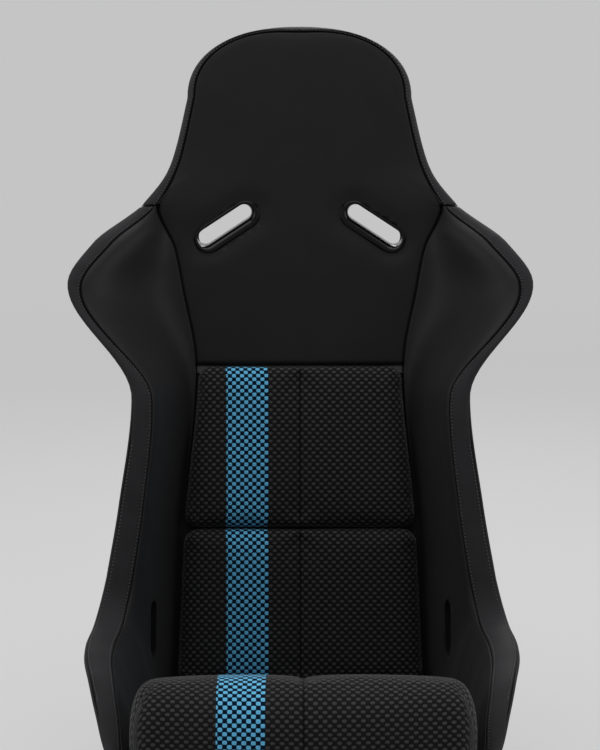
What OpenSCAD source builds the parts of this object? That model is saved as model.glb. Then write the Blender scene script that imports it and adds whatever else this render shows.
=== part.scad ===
// Fixed-back racing seat, in millimetres: a moulded shell with foam and leather on it, a back pad in
// two parts and a seat cushion that lift off. The seat faces -Y. Its origin lies on the flat
// underside, on the centre plane, midway between the front and rear side mounts.

/* [Pan] */
// Flat underside ahead of the origin
pan_front = 100; // [90:5:120]
// From the origin back to the heel point, where the lines of pan and back would meet
heel_y = 187; // [180:1:194]
// Radius of the shell's bend at the heel
heel_r = 85; // [78:1:92]
// Radius of the rise to the front lip
ramp_r = 194; // [180:2:210]
// Angle through which the front lip rises
ramp_turn = 58; // [54:1:60]
// Width across the rim at the front lip
lip_w = 392; // [386:2:402]
// Width across the rim at the hips
hip_w = 497; // [480:1:512]
// Height of the rim over the pan at the hips
hip_h = 187; // [178:1:198]
// Width across the flat sides that take the mounts
side_w = 410; // [408:2:416]

/* [Back] */
// Recline of the back from upright, in degrees
recline = 10; // [8:1:12]
// From the heel point along the back to the top of the hips
hip_top = 216; // [205:1:225]
// From the heel point along the back to the waist
waist_at = 430; // [415:1:440]
// From the heel point along the back to the widest point of the shoulder wings
shoulder_at = 568; // [560:1:580]
// From the heel point along the back to the neck
neck_at = 674; // [664:1:684]
// From the heel point along the back to the middle of the head
head_at = 813; // [800:1:830]
// From the heel point along the back to the top of the head
head_top = 904; // [890:1:920]
// Width across the rim at the waist
waist_w = 404; // [396:1:414]
// Width across the shoulder wings
shoulder_w = 562; // [545:1:580]
// Width across the rim at the neck
neck_w = 398; // [385:1:412]
// Width across the head
head_w = 284; // [270:1:300]
// Depth of the rim in front of the shell's back at the waist
waist_h = 172; // [165:1:180]
// Depth of the rim at the shoulder wings
shoulder_h = 147; // [138:1:155]
// Depth of the rim at the neck
neck_h = 43; // [40:1:48]
// Depth of the rim at the head
head_h = 19; // [17:1:21]

/* [Shell and coverings] */
// Wall of the shell
shell_t = 4; // [3:0.5:5]
// Leather with its backing
cover_t = 2; // [1.5:0.25:2.5]
// Outer side covers
outer_t = 1.5; // [1:0.25:2]
// Foam wall between the flat side of the shell and the occupant
side_pad_t = 27; // [24:1:30]
// Depth from the shell's back to the liner under the pads and the cushion
liner_d = 20; // [17:1:22]
// Depth from the shell's back to the face of the head panel
head_d = 38; // [34:1:42]
// Width of the side band at the hips
band_hip = 34; // [30:1:37]
// Width of the side band at the waist
band_waist = 25; // [22:1:27]
// Width of the side band at the shoulder wings
band_shoulder = 15; // [12:0.5:18]
// Width of the band round the head
band_head = 9.5; // [8:0.5:11]
// How far the leather wraps over the rim on to the outside of the shell
wrap_w = 14; // [10:1:18]
// Width of the edge trim
trim_w = 8; // [6:0.5:10]
// Thickness of the edge trim
trim_t = 3; // [2.5:0.25:3.5]

/* [Back pads] */
// From the heel point along the back to the foot of the lower pad
pads_foot = 76; // [73:1:84]
// From the heel point along the back to the joint between the pads
pads_split = 271; // [262:1:280]
// From the heel point along the back to the top of the upper pad's recess
pads_top = 475; // [470:1:480]
// Width of the lower pad at its foot
pad_foot_w = 306; // [302:1:312]
// Width of both pads at the joint
pad_split_w = 289; // [284:1:294]
// Width of the upper pad at its top
pad_top_w = 256; // [250:1:262]
// Thickness of a pad at its edge, from its board's back
pad_t = 20; // [17:0.5:22]
// How far a pad's face swells in the middle
pad_crown = 5; // [3:0.5:6]
// Depth of the sewn channel down the middle of a pad
pad_crease = 2.5; // [1:0.25:3]
// Thickness of a pad's backing board
board_t = 2.5; // [2:0.25:3]
// Thickness of the woven cover
cloth_t = 1.5; // [1:0.25:2]
// Gap round a pad in its recess
pad_gap = 2; // [1.5:0.5:3]

/* [Seat cushion] */
// Y of the cushion's front face
cushion_front = -278; // [-282:1:-274]
// Y of the cushion's rear face
cushion_rear = 140; // [132:1:143]
// Width of the cushion at the front
cushion_w = 376; // [372:1:378]
// Width of the cushion at the rear
cushion_rear_w = 314; // [306:1:318]
// Height of the top of the front roll over the ground
cushion_crest = 200; // [194:1:204]
// Height of the top of the cushion over the ground at the origin
cushion_mid = 96; // [92:1:100]
// Gap between the cushion and the sides of the seat
cushion_gap = 1.5; // [1:0.5:2.5]
// Thickness of the cushion's base cloth
base_t = 1.5; // [1:0.25:2]

/* [Belt slots] */
// From the heel point along the back to the middle of the harness slots
slot_at = 648; // [640:1:652]
// Distance between the middles of the harness slots
slot_spacing = 183; // [176:1:190]
// Length of a harness slot
slot_l = 82; // [76:1:86]
// Height of a harness slot
slot_h = 26; // [22:1:28]
// Tilt of the harness slots, falling outwards
slot_tilt = 33; // [28:1:36]
// Wall of the bezels
bezel_wall = 2; // [1.5:0.25:2.5]
// Flange of the bezels beyond their wall
bezel_lip = 3.5; // [3:0.5:5]
// Thickness of the bezels' flanges
bezel_t = 3; // [2:0.25:3.5]
// Clearance round the bezels in the panel
bezel_gap = 0.2; // [0.1:0.05:0.4]
// Y of the middle of the lap belt slots
lap_y = 100; // [94:1:106]
// Z of the middle of the lap belt slots
lap_z = 168; // [162:1:172]
// Length of a lap belt slot
lap_l = 70; // [60:1:74]
// Width of a lap belt slot
lap_w = 26; // [22:1:30]

/* [Fixings] */
// Distance between the front and rear side mounts
mount_spacing = 288; // [280:1:292]
// Height of the side mounts over the ground
mount_z = 66; // [64:0.5:68]
// Tapping diameter of the M8 thread
thread_d = 6.8; // [6.6:0.1:7]
// Barrel of an insert
insert_d = 13; // [12:0.5:14]
// Flange of an insert
insert_flange_d = 26; // [22:1:28]
// Thickness of an insert's flange
insert_flange_t = 2.5; // [2:0.25:3]
// Length of an insert
insert_l = 10; // [9:0.5:10.5]
// Clearance round an insert
insert_gap = 0.1; // [0.05:0.05:0.2]
// Screw shank of the slot backings
screw_d = 3; // [2.5:0.25:3.5]
// Screw head
screw_head_d = 7; // [6:0.5:8]
// Height of a screw head
screw_head_t = 2; // [1.5:0.25:2.5]
// Width of a strip of hook or loop tape
tape_w = 50; // [40:1:60]
// Thickness of hook or loop tape
tape_t = 1; // [0.8:0.1:1.2]
// Gap between hook tape and loop tape
tape_gap = 0.2; // [0.15:0.05:0.3]
// Distance of the tape strips from the centre plane
tape_x = 80; // [70:1:84]

/* [Hidden] */
$fn = 48;

LEATHER = "#232323";
LEATHER_BAND = "#2b2b2b";
CHECK = "#3a3d40";
FOAM = "#6b6b66";
COMPOSITE = "#161616";
GLOSS = "#050505";
STEEL = "#b9bcc0";

// --- small helpers -------------------------------------------------------------------------

function mix(a, b, t) = a + (b - a) * t;
function clamp(v, low, high) = max(low, min(high, v));
function unit(v) = v / norm(v);
function arc_len(r, angle) = r * angle * PI / 180;

// A smooth curve through points [place, value], with no overshoot between them
function rise(c, i) = (c[i + 1][1] - c[i][1]) / (c[i + 1][0] - c[i][0]);
function slope(c, i) =
    i == 0 ? rise(c, 0)
    : i == len(c) - 1 ? rise(c, i - 1)
    : rise(c, i - 1) * rise(c, i) <= 0 ? 0
    : 2 * rise(c, i - 1) * rise(c, i) / (rise(c, i - 1) + rise(c, i));
function span(c, s, i = 0) = i >= len(c) - 2 || s < c[i + 1][0] ? i : span(c, s, i + 1);
function curve(c, s) =
    let (
        i = span(c, s),
        h = c[i + 1][0] - c[i][0],
        t = clamp((s - c[i][0]) / h, 0, 1)
    )
    c[i][1] * (1 + 2 * t) * pow(1 - t, 2) + slope(c, i) * h * t * pow(1 - t, 2)
    + c[i + 1][1] * t * t * (3 - 2 * t) - slope(c, i + 1) * h * t * t * (1 - t);

function bezier(p, t) =
    let (u = 1 - t)
    u * u * u * p[0] + 3 * u * u * t * p[1] + 3 * u * t * t * p[2] + t * t * t * p[3];
function arch(p, t) = (1 - t) * (1 - t) * p[0] + 2 * t * (1 - t) * p[1] + t * t * p[2];

// --- the shell's centre line ---------------------------------------------------------------
// s runs along it: s = y on the flat underside, negative ahead of the origin.

back_turn = 90 - recline;
heel_tangent = heel_r * tan(back_turn / 2);
arc_s = heel_y - heel_tangent;
back_s = arc_s + arc_len(heel_r, back_turn);
lip_s = -pan_front - arc_len(ramp_r, ramp_turn);
function back(d) = back_s - heel_tangent + d; // station at a distance up the back from the heel point

function spine(s) =
    s < -pan_front ?
        let (a = (-pan_front - s) / ramp_r * 180 / PI)
        [-pan_front - ramp_r * sin(a), ramp_r * (1 - cos(a))]
    : s < arc_s ? [s, 0]
    : s < back_s ?
        let (a = (s - arc_s) / heel_r * 180 / PI)
        [arc_s + heel_r * sin(a), heel_r * (1 - cos(a))]
    : let (d = s - back_s + heel_tangent)
        [heel_y + d * sin(recline), d * cos(recline)];
function spine_turn(s) =
    s < -pan_front ? (s + pan_front) / ramp_r * 180 / PI
    : s < arc_s ? 0
    : s < back_s ? (s - arc_s) / heel_r * 180 / PI
    : back_turn;

// Depth is measured square to the pan and to the back, and fans out round the heel
hip_s = back(hip_top);
fan_s = -10;
waist_s = back(waist_at);
pads_s = back(pads_top);
shoulder_s = back(shoulder_at);
neck_s = back(neck_at);
head_s = back(head_at);
top_s = back(head_top);
front_s = lip_s + 98;
function depth_turn(s) = back_turn * clamp((s - fan_s) / (hip_s - fan_s), 0, 1);
function depth_dir(s) = [-sin(depth_turn(s)), cos(depth_turn(s))];
function slant(s) = min(1.35, 1 / cos(spine_turn(s) - depth_turn(s)));

// --- sizes along the seat ------------------------------------------------------------------

// Half width and depth of the rim along the pan
thigh_w = [
    [lip_s, lip_w / 2], [lip_s + 44, mix(lip_w, hip_w, 0.32) / 2], [front_s, mix(lip_w, hip_w, 0.58) / 2],
    [-140, mix(lip_w, hip_w, 0.81) / 2], [-80, mix(lip_w, hip_w, 0.98) / 2], [-45, hip_w / 2],
    [fan_s, hip_w / 2 - 3.5]
];
thigh_h = [
    [lip_s, 12], [lip_s + 44, hip_h * 0.33], [front_s, hip_h * 0.67], [-140, hip_h * 0.9],
    [-80, hip_h - 4], [-45, hip_h], [fan_s, hip_h + 6]
];
// Along the back
back_w = [
    [hip_s, mix(hip_w, waist_w, 0.38) / 2],
    [mix(hip_s, waist_s, 0.4), mix(hip_w, waist_w, 0.68) / 2], [waist_s, waist_w / 2],
    [shoulder_s, shoulder_w / 2], [mix(shoulder_s, neck_s, 0.5), mix(shoulder_w, neck_w, 0.33) / 2],
    [neck_s, neck_w / 2], [mix(neck_s, head_s, 0.34), mix(neck_w, head_w, 0.58) / 2],
    [mix(neck_s, head_s, 0.57), mix(neck_w, head_w, 0.76) / 2], [head_s, head_w / 2]
];
back_h = [
    [hip_s, mix(hip_h, waist_h, 0.2)], [mix(hip_s, waist_s, 0.4), waist_h + 4], [waist_s, waist_h],
    [shoulder_s, shoulder_h], [mix(shoulder_s, neck_s, 0.5), mix(shoulder_h, neck_h, 0.38)],
    [neck_s, neck_h], [mix(neck_s, head_s, 0.34), head_h + 2], [mix(neck_s, head_s, 0.57), head_h],
    [head_s, head_h]
];
// Between them the rim turns up in one bow, seen from the side
bow_foot = spine(fan_s) + depth_dir(fan_s) * thigh_h[len(thigh_h) - 1][1];
bow_head = spine(hip_s) + depth_dir(hip_s) * back_h[0][1];
bow_start = [1, slope(thigh_h, len(thigh_h) - 1)];
bow_end = [sin(recline), cos(recline)] + depth_dir(hip_s) * slope(back_h, 0);
bow_knee = bow_foot + bow_start * cross(bow_head - bow_foot, bow_end) / cross(bow_start, bow_end);
bow = [bow_foot, bow_knee, bow_head];
bow_w = [thigh_w[len(thigh_w) - 1][1], back_w[0][1] + 10, back_w[0][1]];
// Where the line of depth from a station crosses that bow
function bow_at(s) =
    let (
        c = spine(s),
        d = depth_dir(s),
        p = cross(bow[0] - 2 * bow[1] + bow[2], d),
        q = 2 * cross(bow[1] - bow[0], d),
        r = cross(bow[0] - c, d)
    )
    -2 * r / (q + sign(q) * sqrt(max(0, q * q - 4 * p * r)));
function rim_w(s) = s < fan_s ? curve(thigh_w, s) : s < hip_s ? arch(bow_w, bow_at(s)) : curve(back_w, s);
function rim_h(s) =
    s < fan_s ? curve(thigh_h, s)
    : s < hip_s ? (arch(bow, bow_at(s)) - spine(s)) * depth_dir(s)
    : curve(back_h, s);
// Height of the inner seam over the rim
function seam_rise(s) = curve([
    [lip_s, 0], [shoulder_s, 0], [mix(shoulder_s, neck_s, 0.6), 0], [neck_s, 4],
    [mix(neck_s, head_s, 0.34), 14], [head_s, head_d - head_h - 2]
], s);
function band_w(s) = curve([
    [lip_s, 9], [front_s, 26], [0, band_hip], [hip_s, band_hip - 2], [waist_s, band_waist],
    [waist_s + 72, band_shoulder], [shoulder_s - 30, band_shoulder - 1],
    [mix(shoulder_s, neck_s, 0.5), band_shoulder + 7], [neck_s, band_shoulder + 4],
    [mix(neck_s, head_s, 0.34), band_head + 2], [head_s, band_head]
], s);
// Half width of the floor between the side walls
function floor_w(s) = curve([
    [lip_s, cushion_w / 2 - 9], [front_s, cushion_w / 2 + cushion_gap - 1],
    [-pan_front, mix(cushion_w, cushion_rear_w, 0.28) / 2 + cushion_gap],
    [0, mix(cushion_w, cushion_rear_w, 0.58) / 2 + cushion_gap],
    [arc_s, mix(cushion_w, cushion_rear_w, 0.94) / 2 + cushion_gap],
    [back(pads_foot), pad_foot_w / 2 + pad_gap], [back(pads_split), pad_split_w / 2 + pad_gap],
    [pads_s, pad_top_w / 2 + pad_gap], [shoulder_s, pad_top_w / 2 + 18],
    [mix(shoulder_s, neck_s, 0.5), mix(pad_top_w + 36, neck_w, 0.2) / 2],
    [neck_s, neck_w / 2 - band_shoulder - 6],
    [mix(neck_s, head_s, 0.34), head_w * 0.46], [head_s, head_w * 0.36]
], s);
// Half width of the shell's upright side
function wall_w(s) = curve([
    [lip_s, lip_w / 2 - 4], [lip_s + 44, side_w / 2 - 5], [front_s, side_w / 2], [hip_s, side_w / 2],
    [waist_s, waist_w / 2 - 13], [shoulder_s, shoulder_w / 2 - 36],
    [mix(shoulder_s, neck_s, 0.5), mix(shoulder_w, neck_w, 0.37) / 2 - 30], [neck_s, neck_w / 2 - 16],
    [mix(neck_s, head_s, 0.57), mix(neck_w, head_w, 0.76) / 2 - 10], [head_s, head_w / 2 - 10]
], s);
// Where the upright side starts and ends above the shell's floor
function side_low(s) = curve([
    [lip_s, 3], [lip_s + 44, 20], [front_s, 35], [hip_s, 35], [waist_s, 40], [shoulder_s, 50],
    [mix(shoulder_s, neck_s, 0.5), 45], [neck_s, neck_h * 0.42], [mix(neck_s, head_s, 0.34), head_h * 0.5],
    [head_s, head_h * 0.37]
], s);
function side_high(s) = curve([
    [lip_s, 4.5], [lip_s + 44, 30], [front_s, 85], [hip_s, 85], [waist_s, 60], [shoulder_s, 60],
    [mix(shoulder_s, neck_s, 0.5), 52], [neck_s, neck_h * 0.53], [mix(neck_s, head_s, 0.34), head_h * 0.65],
    [head_s, head_h * 0.48]
], s);
// Depth of the lining in front of the shell, under the cushion and the pads and beside them
function lining(s) = curve([[lip_s, 7], [front_s, liner_d - 3], [-pan_front, liner_d], [0, liner_d]], s);
function side_lining(s) =
    s < pads_s - 140 ? lining(s) : curve([[pads_s - 140, liner_d], [pads_s, head_d], [top_s, head_d]], s);

// --- rows across the seat ------------------------------------------------------------------
// A row is [station, fan angle, half width, rim depth, depth of its lining].

marks = [
    [lip_s, 0], [-pan_front, 5], [fan_s, 3], [arc_s, 3], [back_s, 5], [hip_s, 4], [waist_s, 5],
    [pads_s, 2], [shoulder_s, 5], [neck_s, 6], [head_s, 4]
];
stations = [
    lip_s,
    for (m = [1 : len(marks) - 1], k = [1 : marks[m][1]]) mix(marks[m - 1][0], marks[m][0], k / marks[m][1])
];
function row_at(mark, m = 0) = m > mark ? 0 : marks[m][1] + row_at(mark, m + 1);
thigh_row = row_at(3);
heel_row = row_at(4);
waist_row = row_at(6);
pads_row = row_at(7);
neck_row = row_at(9);
fan_rows = [18, 36, 52, 66, 79, 90];
top_row = row_at(10) + len(fan_rows);

// Over the head, the rows fan out from the middle to an arched top
arch_power = 2 / 2.25;
arch_centre = 46;
function arch_row(a) =
    let (
        w = head_w / 2 * pow(cos(a), arch_power),
        up = (top_s - head_s) * pow(sin(a), arch_power) - arch_centre * sin(a)
    )
    [head_s + arch_centre * sin(a), atan2(up, w), norm([w, up]), head_h, head_d];
rows = [
    for (i = [0 : len(stations) - 1])
        let (s = stations[i])
        [s, 0, rim_w(s), rim_h(s), i < pads_row ? side_lining(s) : head_d],
    for (a = fan_rows) arch_row(a)
];

function place(r, u, e) =
    let (c = spine(r[0] + abs(u) * sin(r[1])), d = depth_dir(r[0]))
    [u * cos(r[1]), c[0] + d[0] * e, c[1] + d[1] * e];

// --- sections of a row, as points [half width, depth] --------------------------------------

SEAM = 7; // column of the inner seam
RIM = 10; // column of the shell's edge
WRAP = 11; // column of the leather's outer edge
wrap_gap = 0.3; // between the shell's edge and the leather wrapped over it

function floor_edge(r) = r[1] > 0 ? r[2] * 0.72 : min(floor_w(r[0]), r[2] - band_w(r[0]) - 3);
function side_edge(r) = r[1] > 0 ? r[2] - 10 : wall_w(r[0]);

// Outside of the shell: floor, bend, upright side, flare to the rim
function outside(r) =
    let (
        xi = floor_edge(r),
        ws = side_edge(r),
        h0 = side_low(r[0]),
        h1 = side_high(r[0]),
        bend = [[xi, 0], [ws, 0], [ws, h0]],
        rim = [r[2] - cover_t, r[3]],
        flare = [[ws, h1], [ws, mix(h1, r[3], 0.5)], rim],
        run = norm(rim - flare[0]),
        wrap = min(wrap_w, 0.38 * run) / run,
        trim = min(trim_w, 0.3 * run) / run
    )
    [
        [0, 0], [xi / 2, 0], [xi, 0], arch(bend, 0.4), arch(bend, 0.72), [ws, h0], [ws, h1],
        arch(flare, (1 - wrap - trim) * 0.55), arch(flare, 1 - wrap - trim), arch(flare, 1 - wrap), rim
    ];
// Inward normals of that line, kept square on its flat stretches
function normal(a, b) = let (t = unit(b - a)) [-t[1], t[0]];
function outside_normals(r) =
    let (p = outside(r))
    [
        for (j = [0 : RIM])
            j <= 2 ? [0, 1]
            : j == 5 || j == 6 ? [-1, 0]
            : j == RIM ? normal(p[j - 1], p[j])
            : normal(p[j - 1], p[j + 1])
    ];
function inset(r, t) =
    let (p = outside(r), n = outside_normals(r), k = slant(r[0]))
    [for (j = [0 : RIM]) p[j] + [n[j][0] * t, n[j][1] * t * (j < 5 ? k : 1)]];

// Face of the leather: floor, side wall up to the seam, band over the rim, wrap
function face(r, lining = undef) =
    let (
        p = outside(r),
        n = outside_normals(r),
        xi = floor_edge(r),
        e0 = (is_undef(lining) ? r[4] : lining) * slant(r[0]),
        b = r[1] > 0 ? band_head : band_w(r[0]),
        xs = r[2] - b,
        es = r[3] + seam_rise(r[0]),
        xw = min(mix(xi, xs, 0.9), max(side_edge(r) - side_pad_t, mix(xi, xs, 0.3))),
        wall = [[xi, e0], [mix(xi, xw, 0.7), e0], [xw, mix(e0, es, 0.6)], [xs, es]],
        edge = p[RIM] + 0.8 * unit(p[RIM] - p[RIM - 1]) - n[RIM] * cover_t,
        crown = clamp(r[3] * 0.35, 6, 10),
        band = [[xs, es], [xs + b * 0.35, es + 3], edge + [0, crown], edge]
    )
    [
        [0, e0], [xi / 2, e0], [xi, e0], for (t = [0.2, 0.4, 0.62, 0.82, 1]) bezier(wall, t),
        bezier(band, 0.33), bezier(band, 0.68), edge,
        p[RIM - 1] + unit(p[RIM] - p[RIM - 1]) * wrap_gap - n[RIM - 1] * cover_t
    ];
// Under side of the leather
function under(r) =
    let (q = face(r), p = outside(r), k = slant(r[0]))
    [
        for (j = [0 : WRAP])
            j <= 2 ? q[j] - [0, cover_t * k]
            : j == RIM ? q[j] + outside_normals(r)[RIM] * (cover_t - wrap_gap)
            : j == RIM - 1 ? inset(r, shell_t)[RIM] + [0, 2 * wrap_gap]
            : j == WRAP ? q[j] + outside_normals(r)[RIM - 1] * (cover_t - wrap_gap)
            : q[j] - normal(q[j - 1], q[j + 1]) * cover_t
    ];

// --- layers: a grid of points for a range of rows and columns --------------------------------

function cross_row(r, p, low, high) =
    [for (c = [low : high]) place(r, c < 0 ? -p[-c][0] : p[c][0], p[abs(c)][1])];
function outer_layer(low, high, from, to, t = 0) =
    [for (i = [from : to]) cross_row(rows[i], inset(rows[i], t), low, high)];
function under_layer(low, high, from, to) =
    [for (i = [from : to]) cross_row(rows[i], under(rows[i]), low, high)];
function face_layer(low, high, from, to) =
    [for (i = [from : to]) cross_row(rows[i], face(rows[i]), low, high)];
function liner_layer(from, to) =
    [for (i = [from : to]) cross_row(rows[i], face(rows[i], lining(rows[i][0])), -2, 2)];

// Solid between two grids of points, over the cells that used(row, column) picks. Cells left of
// the column mid are split the other way, so that both halves mirror each other, and so are cells
// that turn back, from that ring on. With fold, the last row is folded on itself.
module skin(low, high, used = function (i, c) true, mid = 0, fold = false, back_from = 99) {
    count = len(low);
    cols = len(low[0]);
    n = count * cols;
    function id(i, c) = i * cols + (fold && i == count - 1 && c < mid ? 2 * mid - c : c);
    function cell(i, c) = i >= 0 && c >= 0 && i < count - 1 && c < cols - 1 && used(i, c);
    function quad(p, q, r, s, other) = other ? [[p, q, s], [q, r, s]] : [[p, q, r], [p, r, s]];
    function sides(i, c) =
        let (
            a = id(i, c), b = id(i, c + 1), d = id(i + 1, c + 1), e = id(i + 1, c),
            left = ((c < mid) != (fold && i == count - 2)) != (ring_of(c, mid) >= back_from)
        )
        [
            each quad(a + n, e + n, d + n, b + n, left),
            each quad(a, b, d, e, left),
            if (!cell(i - 1, c)) each quad(a, a + n, b + n, b, left),
            if (!cell(i + 1, c) && !(fold && i == count - 2)) each quad(e, d, d + n, e + n, left),
            if (!cell(i, c - 1)) each quad(a, e, e + n, a + n, false),
            if (!cell(i, c + 1)) each quad(b, b + n, d + n, d, false)
        ];
    polyhedron(
        points = [each each low, each each high],
        faces = [for (i = [0 : count - 2], c = [0 : cols - 2]) if (cell(i, c)) each sides(i, c)]
    );
}
function ring_of(c, mid) = c < mid ? mid - 1 - c : c - mid; // columns between a cell and the middle

module right_or_left(right) {
    if (right)
        children();
    else
        mirror([1, 0, 0]) children();
}

// --- placing on the back, and cuts -----------------------------------------------------------

module on_back(s, e = 0) {
    c = spine(s);
    translate([0, c[0], c[1]]) rotate([back_turn, 0, 0]) translate([0, 0, e]) children();
}
module obround(length, width, height) {
    linear_extrude(height) polygon([
        for (side = [1, -1], a = [-90 : 15 : 90])
            side * [(length - width) / 2 + width / 2 * cos(a), width / 2 * sin(a)]
    ]);
}
// The slots run straight back, so behind the shell they sit higher than on the panel's face
slot_s = back(slot_at);
slot_rise = head_d * tan(recline);
module at_slot(right, e) {
    on_back(slot_s, e) translate([(right ? 1 : -1) * slot_spacing / 2, e > 0 ? 0 : slot_rise, 0])
        rotate([0, 0, (right ? -1 : 1) * slot_tilt]) children();
}
module through_slot(right, length, width) {
    c = spine(slot_s) + depth_dir(slot_s) * head_d;
    translate([(right ? 1 : -1) * slot_spacing / 2, c[0] + 90, c[1]]) rotate([90, 0, 0])
        rotate([0, 0, (right ? -1 : 1) * slot_tilt]) obround(length, width, 130);
}
bezel_l = slot_l + 2 * bezel_wall;
bezel_h = slot_h + 2 * bezel_wall;
module slot_cuts() {
    for (right = [true, false])
        through_slot(right, bezel_l + 2 * bezel_gap, bezel_h + 2 * bezel_gap);
}
module lap_cut() {
    translate([side_w / 2 - 60, lap_y, lap_z]) rotate([90, 0, 90]) rotate([0, 0, 90 - recline])
        obround(lap_l, lap_w, 120);
}
module both_sides() {
    children();
    mirror([1, 0, 0]) children();
}
module at_mounts() {
    for (y = [-1, 1] * mount_spacing / 2) translate([side_w / 2, y, mount_z]) rotate([0, 90, 0]) children();
}
screw_x = slot_l / 2 + bezel_wall + bezel_lip + screw_head_d / 2 - 2;
module at_screws(e) {
    for (right = [true, false], end = [-1, 1])
        at_slot(right, e) translate([end * screw_x, 0, 0]) children();
}

// --- shell and what is fixed to it -------------------------------------------------------------

module shell() {
    color(COMPOSITE) difference() {
        skin(
            outer_layer(-RIM, RIM, 0, top_row), outer_layer(-RIM, RIM, 0, top_row, shell_t),
            mid = RIM, fold = true
        );
        slot_cuts();
        both_sides() lap_cut();
        both_sides() at_mounts() translate([0, 0, -shell_t - 5])
            cylinder(d = insert_d + 2 * insert_gap, h = shell_t + 10);
        // a flat seat for each insert's flange, where the wall curves in
        both_sides() at_mounts() translate([0, 0, -insert_l - insert_gap])
            cylinder(d = insert_flange_d + 2 * insert_gap, h = insert_l - shell_t + insert_gap - board_glue);
        at_screws(-10) cylinder(d = screw_d + 2 * insert_gap, h = 20);
    }
}
module edge_trim() {
    color(LEATHER_BAND)
        skin(
            outer_layer(-RIM, RIM, 0, top_row, -trim_t), outer_layer(-RIM, RIM, 0, top_row),
            function (i, c) ring_of(c, RIM) == 8, RIM, true
        );
}
module head_foam() {
    color(FOAM) difference() {
        skin(
            outer_layer(1 - RIM, RIM - 1, pads_row, top_row, shell_t),
            under_layer(1 - RIM, RIM - 1, pads_row, top_row),
            function (i, c) ring_of(c, RIM - 1) < 2 || i >= neck_row - pads_row, RIM - 1, true
        );
        slot_cuts();
    }
}
module side_foam(from, to) {
    skin(outer_layer(2, RIM - 1, from, to, shell_t), under_layer(2, RIM - 1, from, to));
}
module wing_foam(right) {
    color(FOAM) right_or_left(right) side_foam(waist_row, neck_row);
}
module cut_side_foam(right, from, to) {
    color(FOAM) right_or_left(right) difference() {
        side_foam(from, to);
        lap_cut();
        // a square pocket cut in the foam for each insert and its flange
        at_mounts() translate([0, 0, (1 - shell_t - insert_l - insert_gap) / 2])
            cube([
                insert_flange_d + 2 * insert_gap, insert_flange_d + 2 * insert_gap,
                insert_l - shell_t + insert_gap + 1
            ], center = true);
    }
}
module hip_foam(right) {
    cut_side_foam(right, thigh_row, waist_row);
}
module thigh_foam(right) {
    cut_side_foam(right, 0, thigh_row);
}
module pan_liner() {
    color(FOAM) skin(outer_layer(-2, 2, 0, heel_row, shell_t), liner_layer(0, heel_row), mid = 2);
}
module back_liner() {
    color(FOAM)
        skin(outer_layer(-2, 2, heel_row, pads_row, shell_t), liner_layer(heel_row, pads_row), mid = 2);
}
module head_cover() {
    color(LEATHER) difference() {
        skin(
            under_layer(-SEAM, SEAM, pads_row, top_row), face_layer(-SEAM, SEAM, pads_row, top_row),
            function (i, c) ring_of(c, SEAM) < 2 || i >= neck_row - pads_row, SEAM, true
        );
        slot_cuts();
    }
}
module head_band() {
    color(LEATHER_BAND)
        skin(
            under_layer(-WRAP, WRAP, neck_row, top_row), face_layer(-WRAP, WRAP, neck_row, top_row),
            function (i, c) ring_of(c, WRAP) >= SEAM, WRAP, true, RIM - 1
        );
}
module inner_cover(right) {
    color(LEATHER) right_or_left(right) difference() {
        skin(under_layer(2, SEAM, 0, neck_row), face_layer(2, SEAM, 0, neck_row));
        lap_cut();
    }
}
module side_band(right) {
    color(LEATHER_BAND) right_or_left(right)
        skin(
            under_layer(SEAM, WRAP, 0, neck_row), face_layer(SEAM, WRAP, 0, neck_row),
            back_from = RIM - 1 - SEAM
        );
}
module outer_cover(right) {
    color(LEATHER) right_or_left(right) difference() {
        skin(outer_layer(6, 8, 0, neck_row, -outer_t), outer_layer(6, 8, 0, neck_row));
        lap_cut();
    }
}

// A bezel is a flanged tube from the face of the head panel back to the shell
module slot_bezel(right) {
    color(GLOSS) difference() {
        union() {
            at_slot(right, head_d) obround(bezel_l + 2 * bezel_lip, bezel_h + 2 * bezel_lip, bezel_t);
            intersection() {
                through_slot(right, bezel_l, bezel_h);
                on_back(slot_s, 0.5) translate([-300, -200, 0]) cube([600, 400, head_d + bezel_t - 1]);
            }
        }
        through_slot(right, slot_l, slot_h);
    }
}
module slot_backing(right) {
    color(GLOSS) difference() {
        at_slot(right, -bezel_t)
            obround(2 * screw_x + screw_head_d + 4, bezel_h + 2 * bezel_lip, bezel_t);
        through_slot(right, slot_l, slot_h);
        at_screws(-bezel_t - 5) cylinder(d = screw_d + 2 * insert_gap, h = bezel_t + 10);
    }
}
module backing_screws() {
    color(STEEL) {
        at_screws(-bezel_t - screw_head_t) cylinder(d = screw_head_d, h = screw_head_t);
        at_screws(-bezel_t) cylinder(d = screw_d, h = bezel_t + shell_t - 0.5);
    }
}
module side_inserts() {
    color(STEEL) both_sides() at_mounts() difference() {
        union() {
            translate([0, 0, -insert_l]) cylinder(d = insert_d, h = insert_l);
            translate([0, 0, -shell_t - insert_flange_t])
                cylinder(d = insert_flange_d, h = insert_flange_t);
        }
        translate([0, 0, -insert_l - 5]) cylinder(d = thread_d, h = insert_l + 10);
    }
}

// --- hook and loop tape --------------------------------------------------------------------

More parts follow.
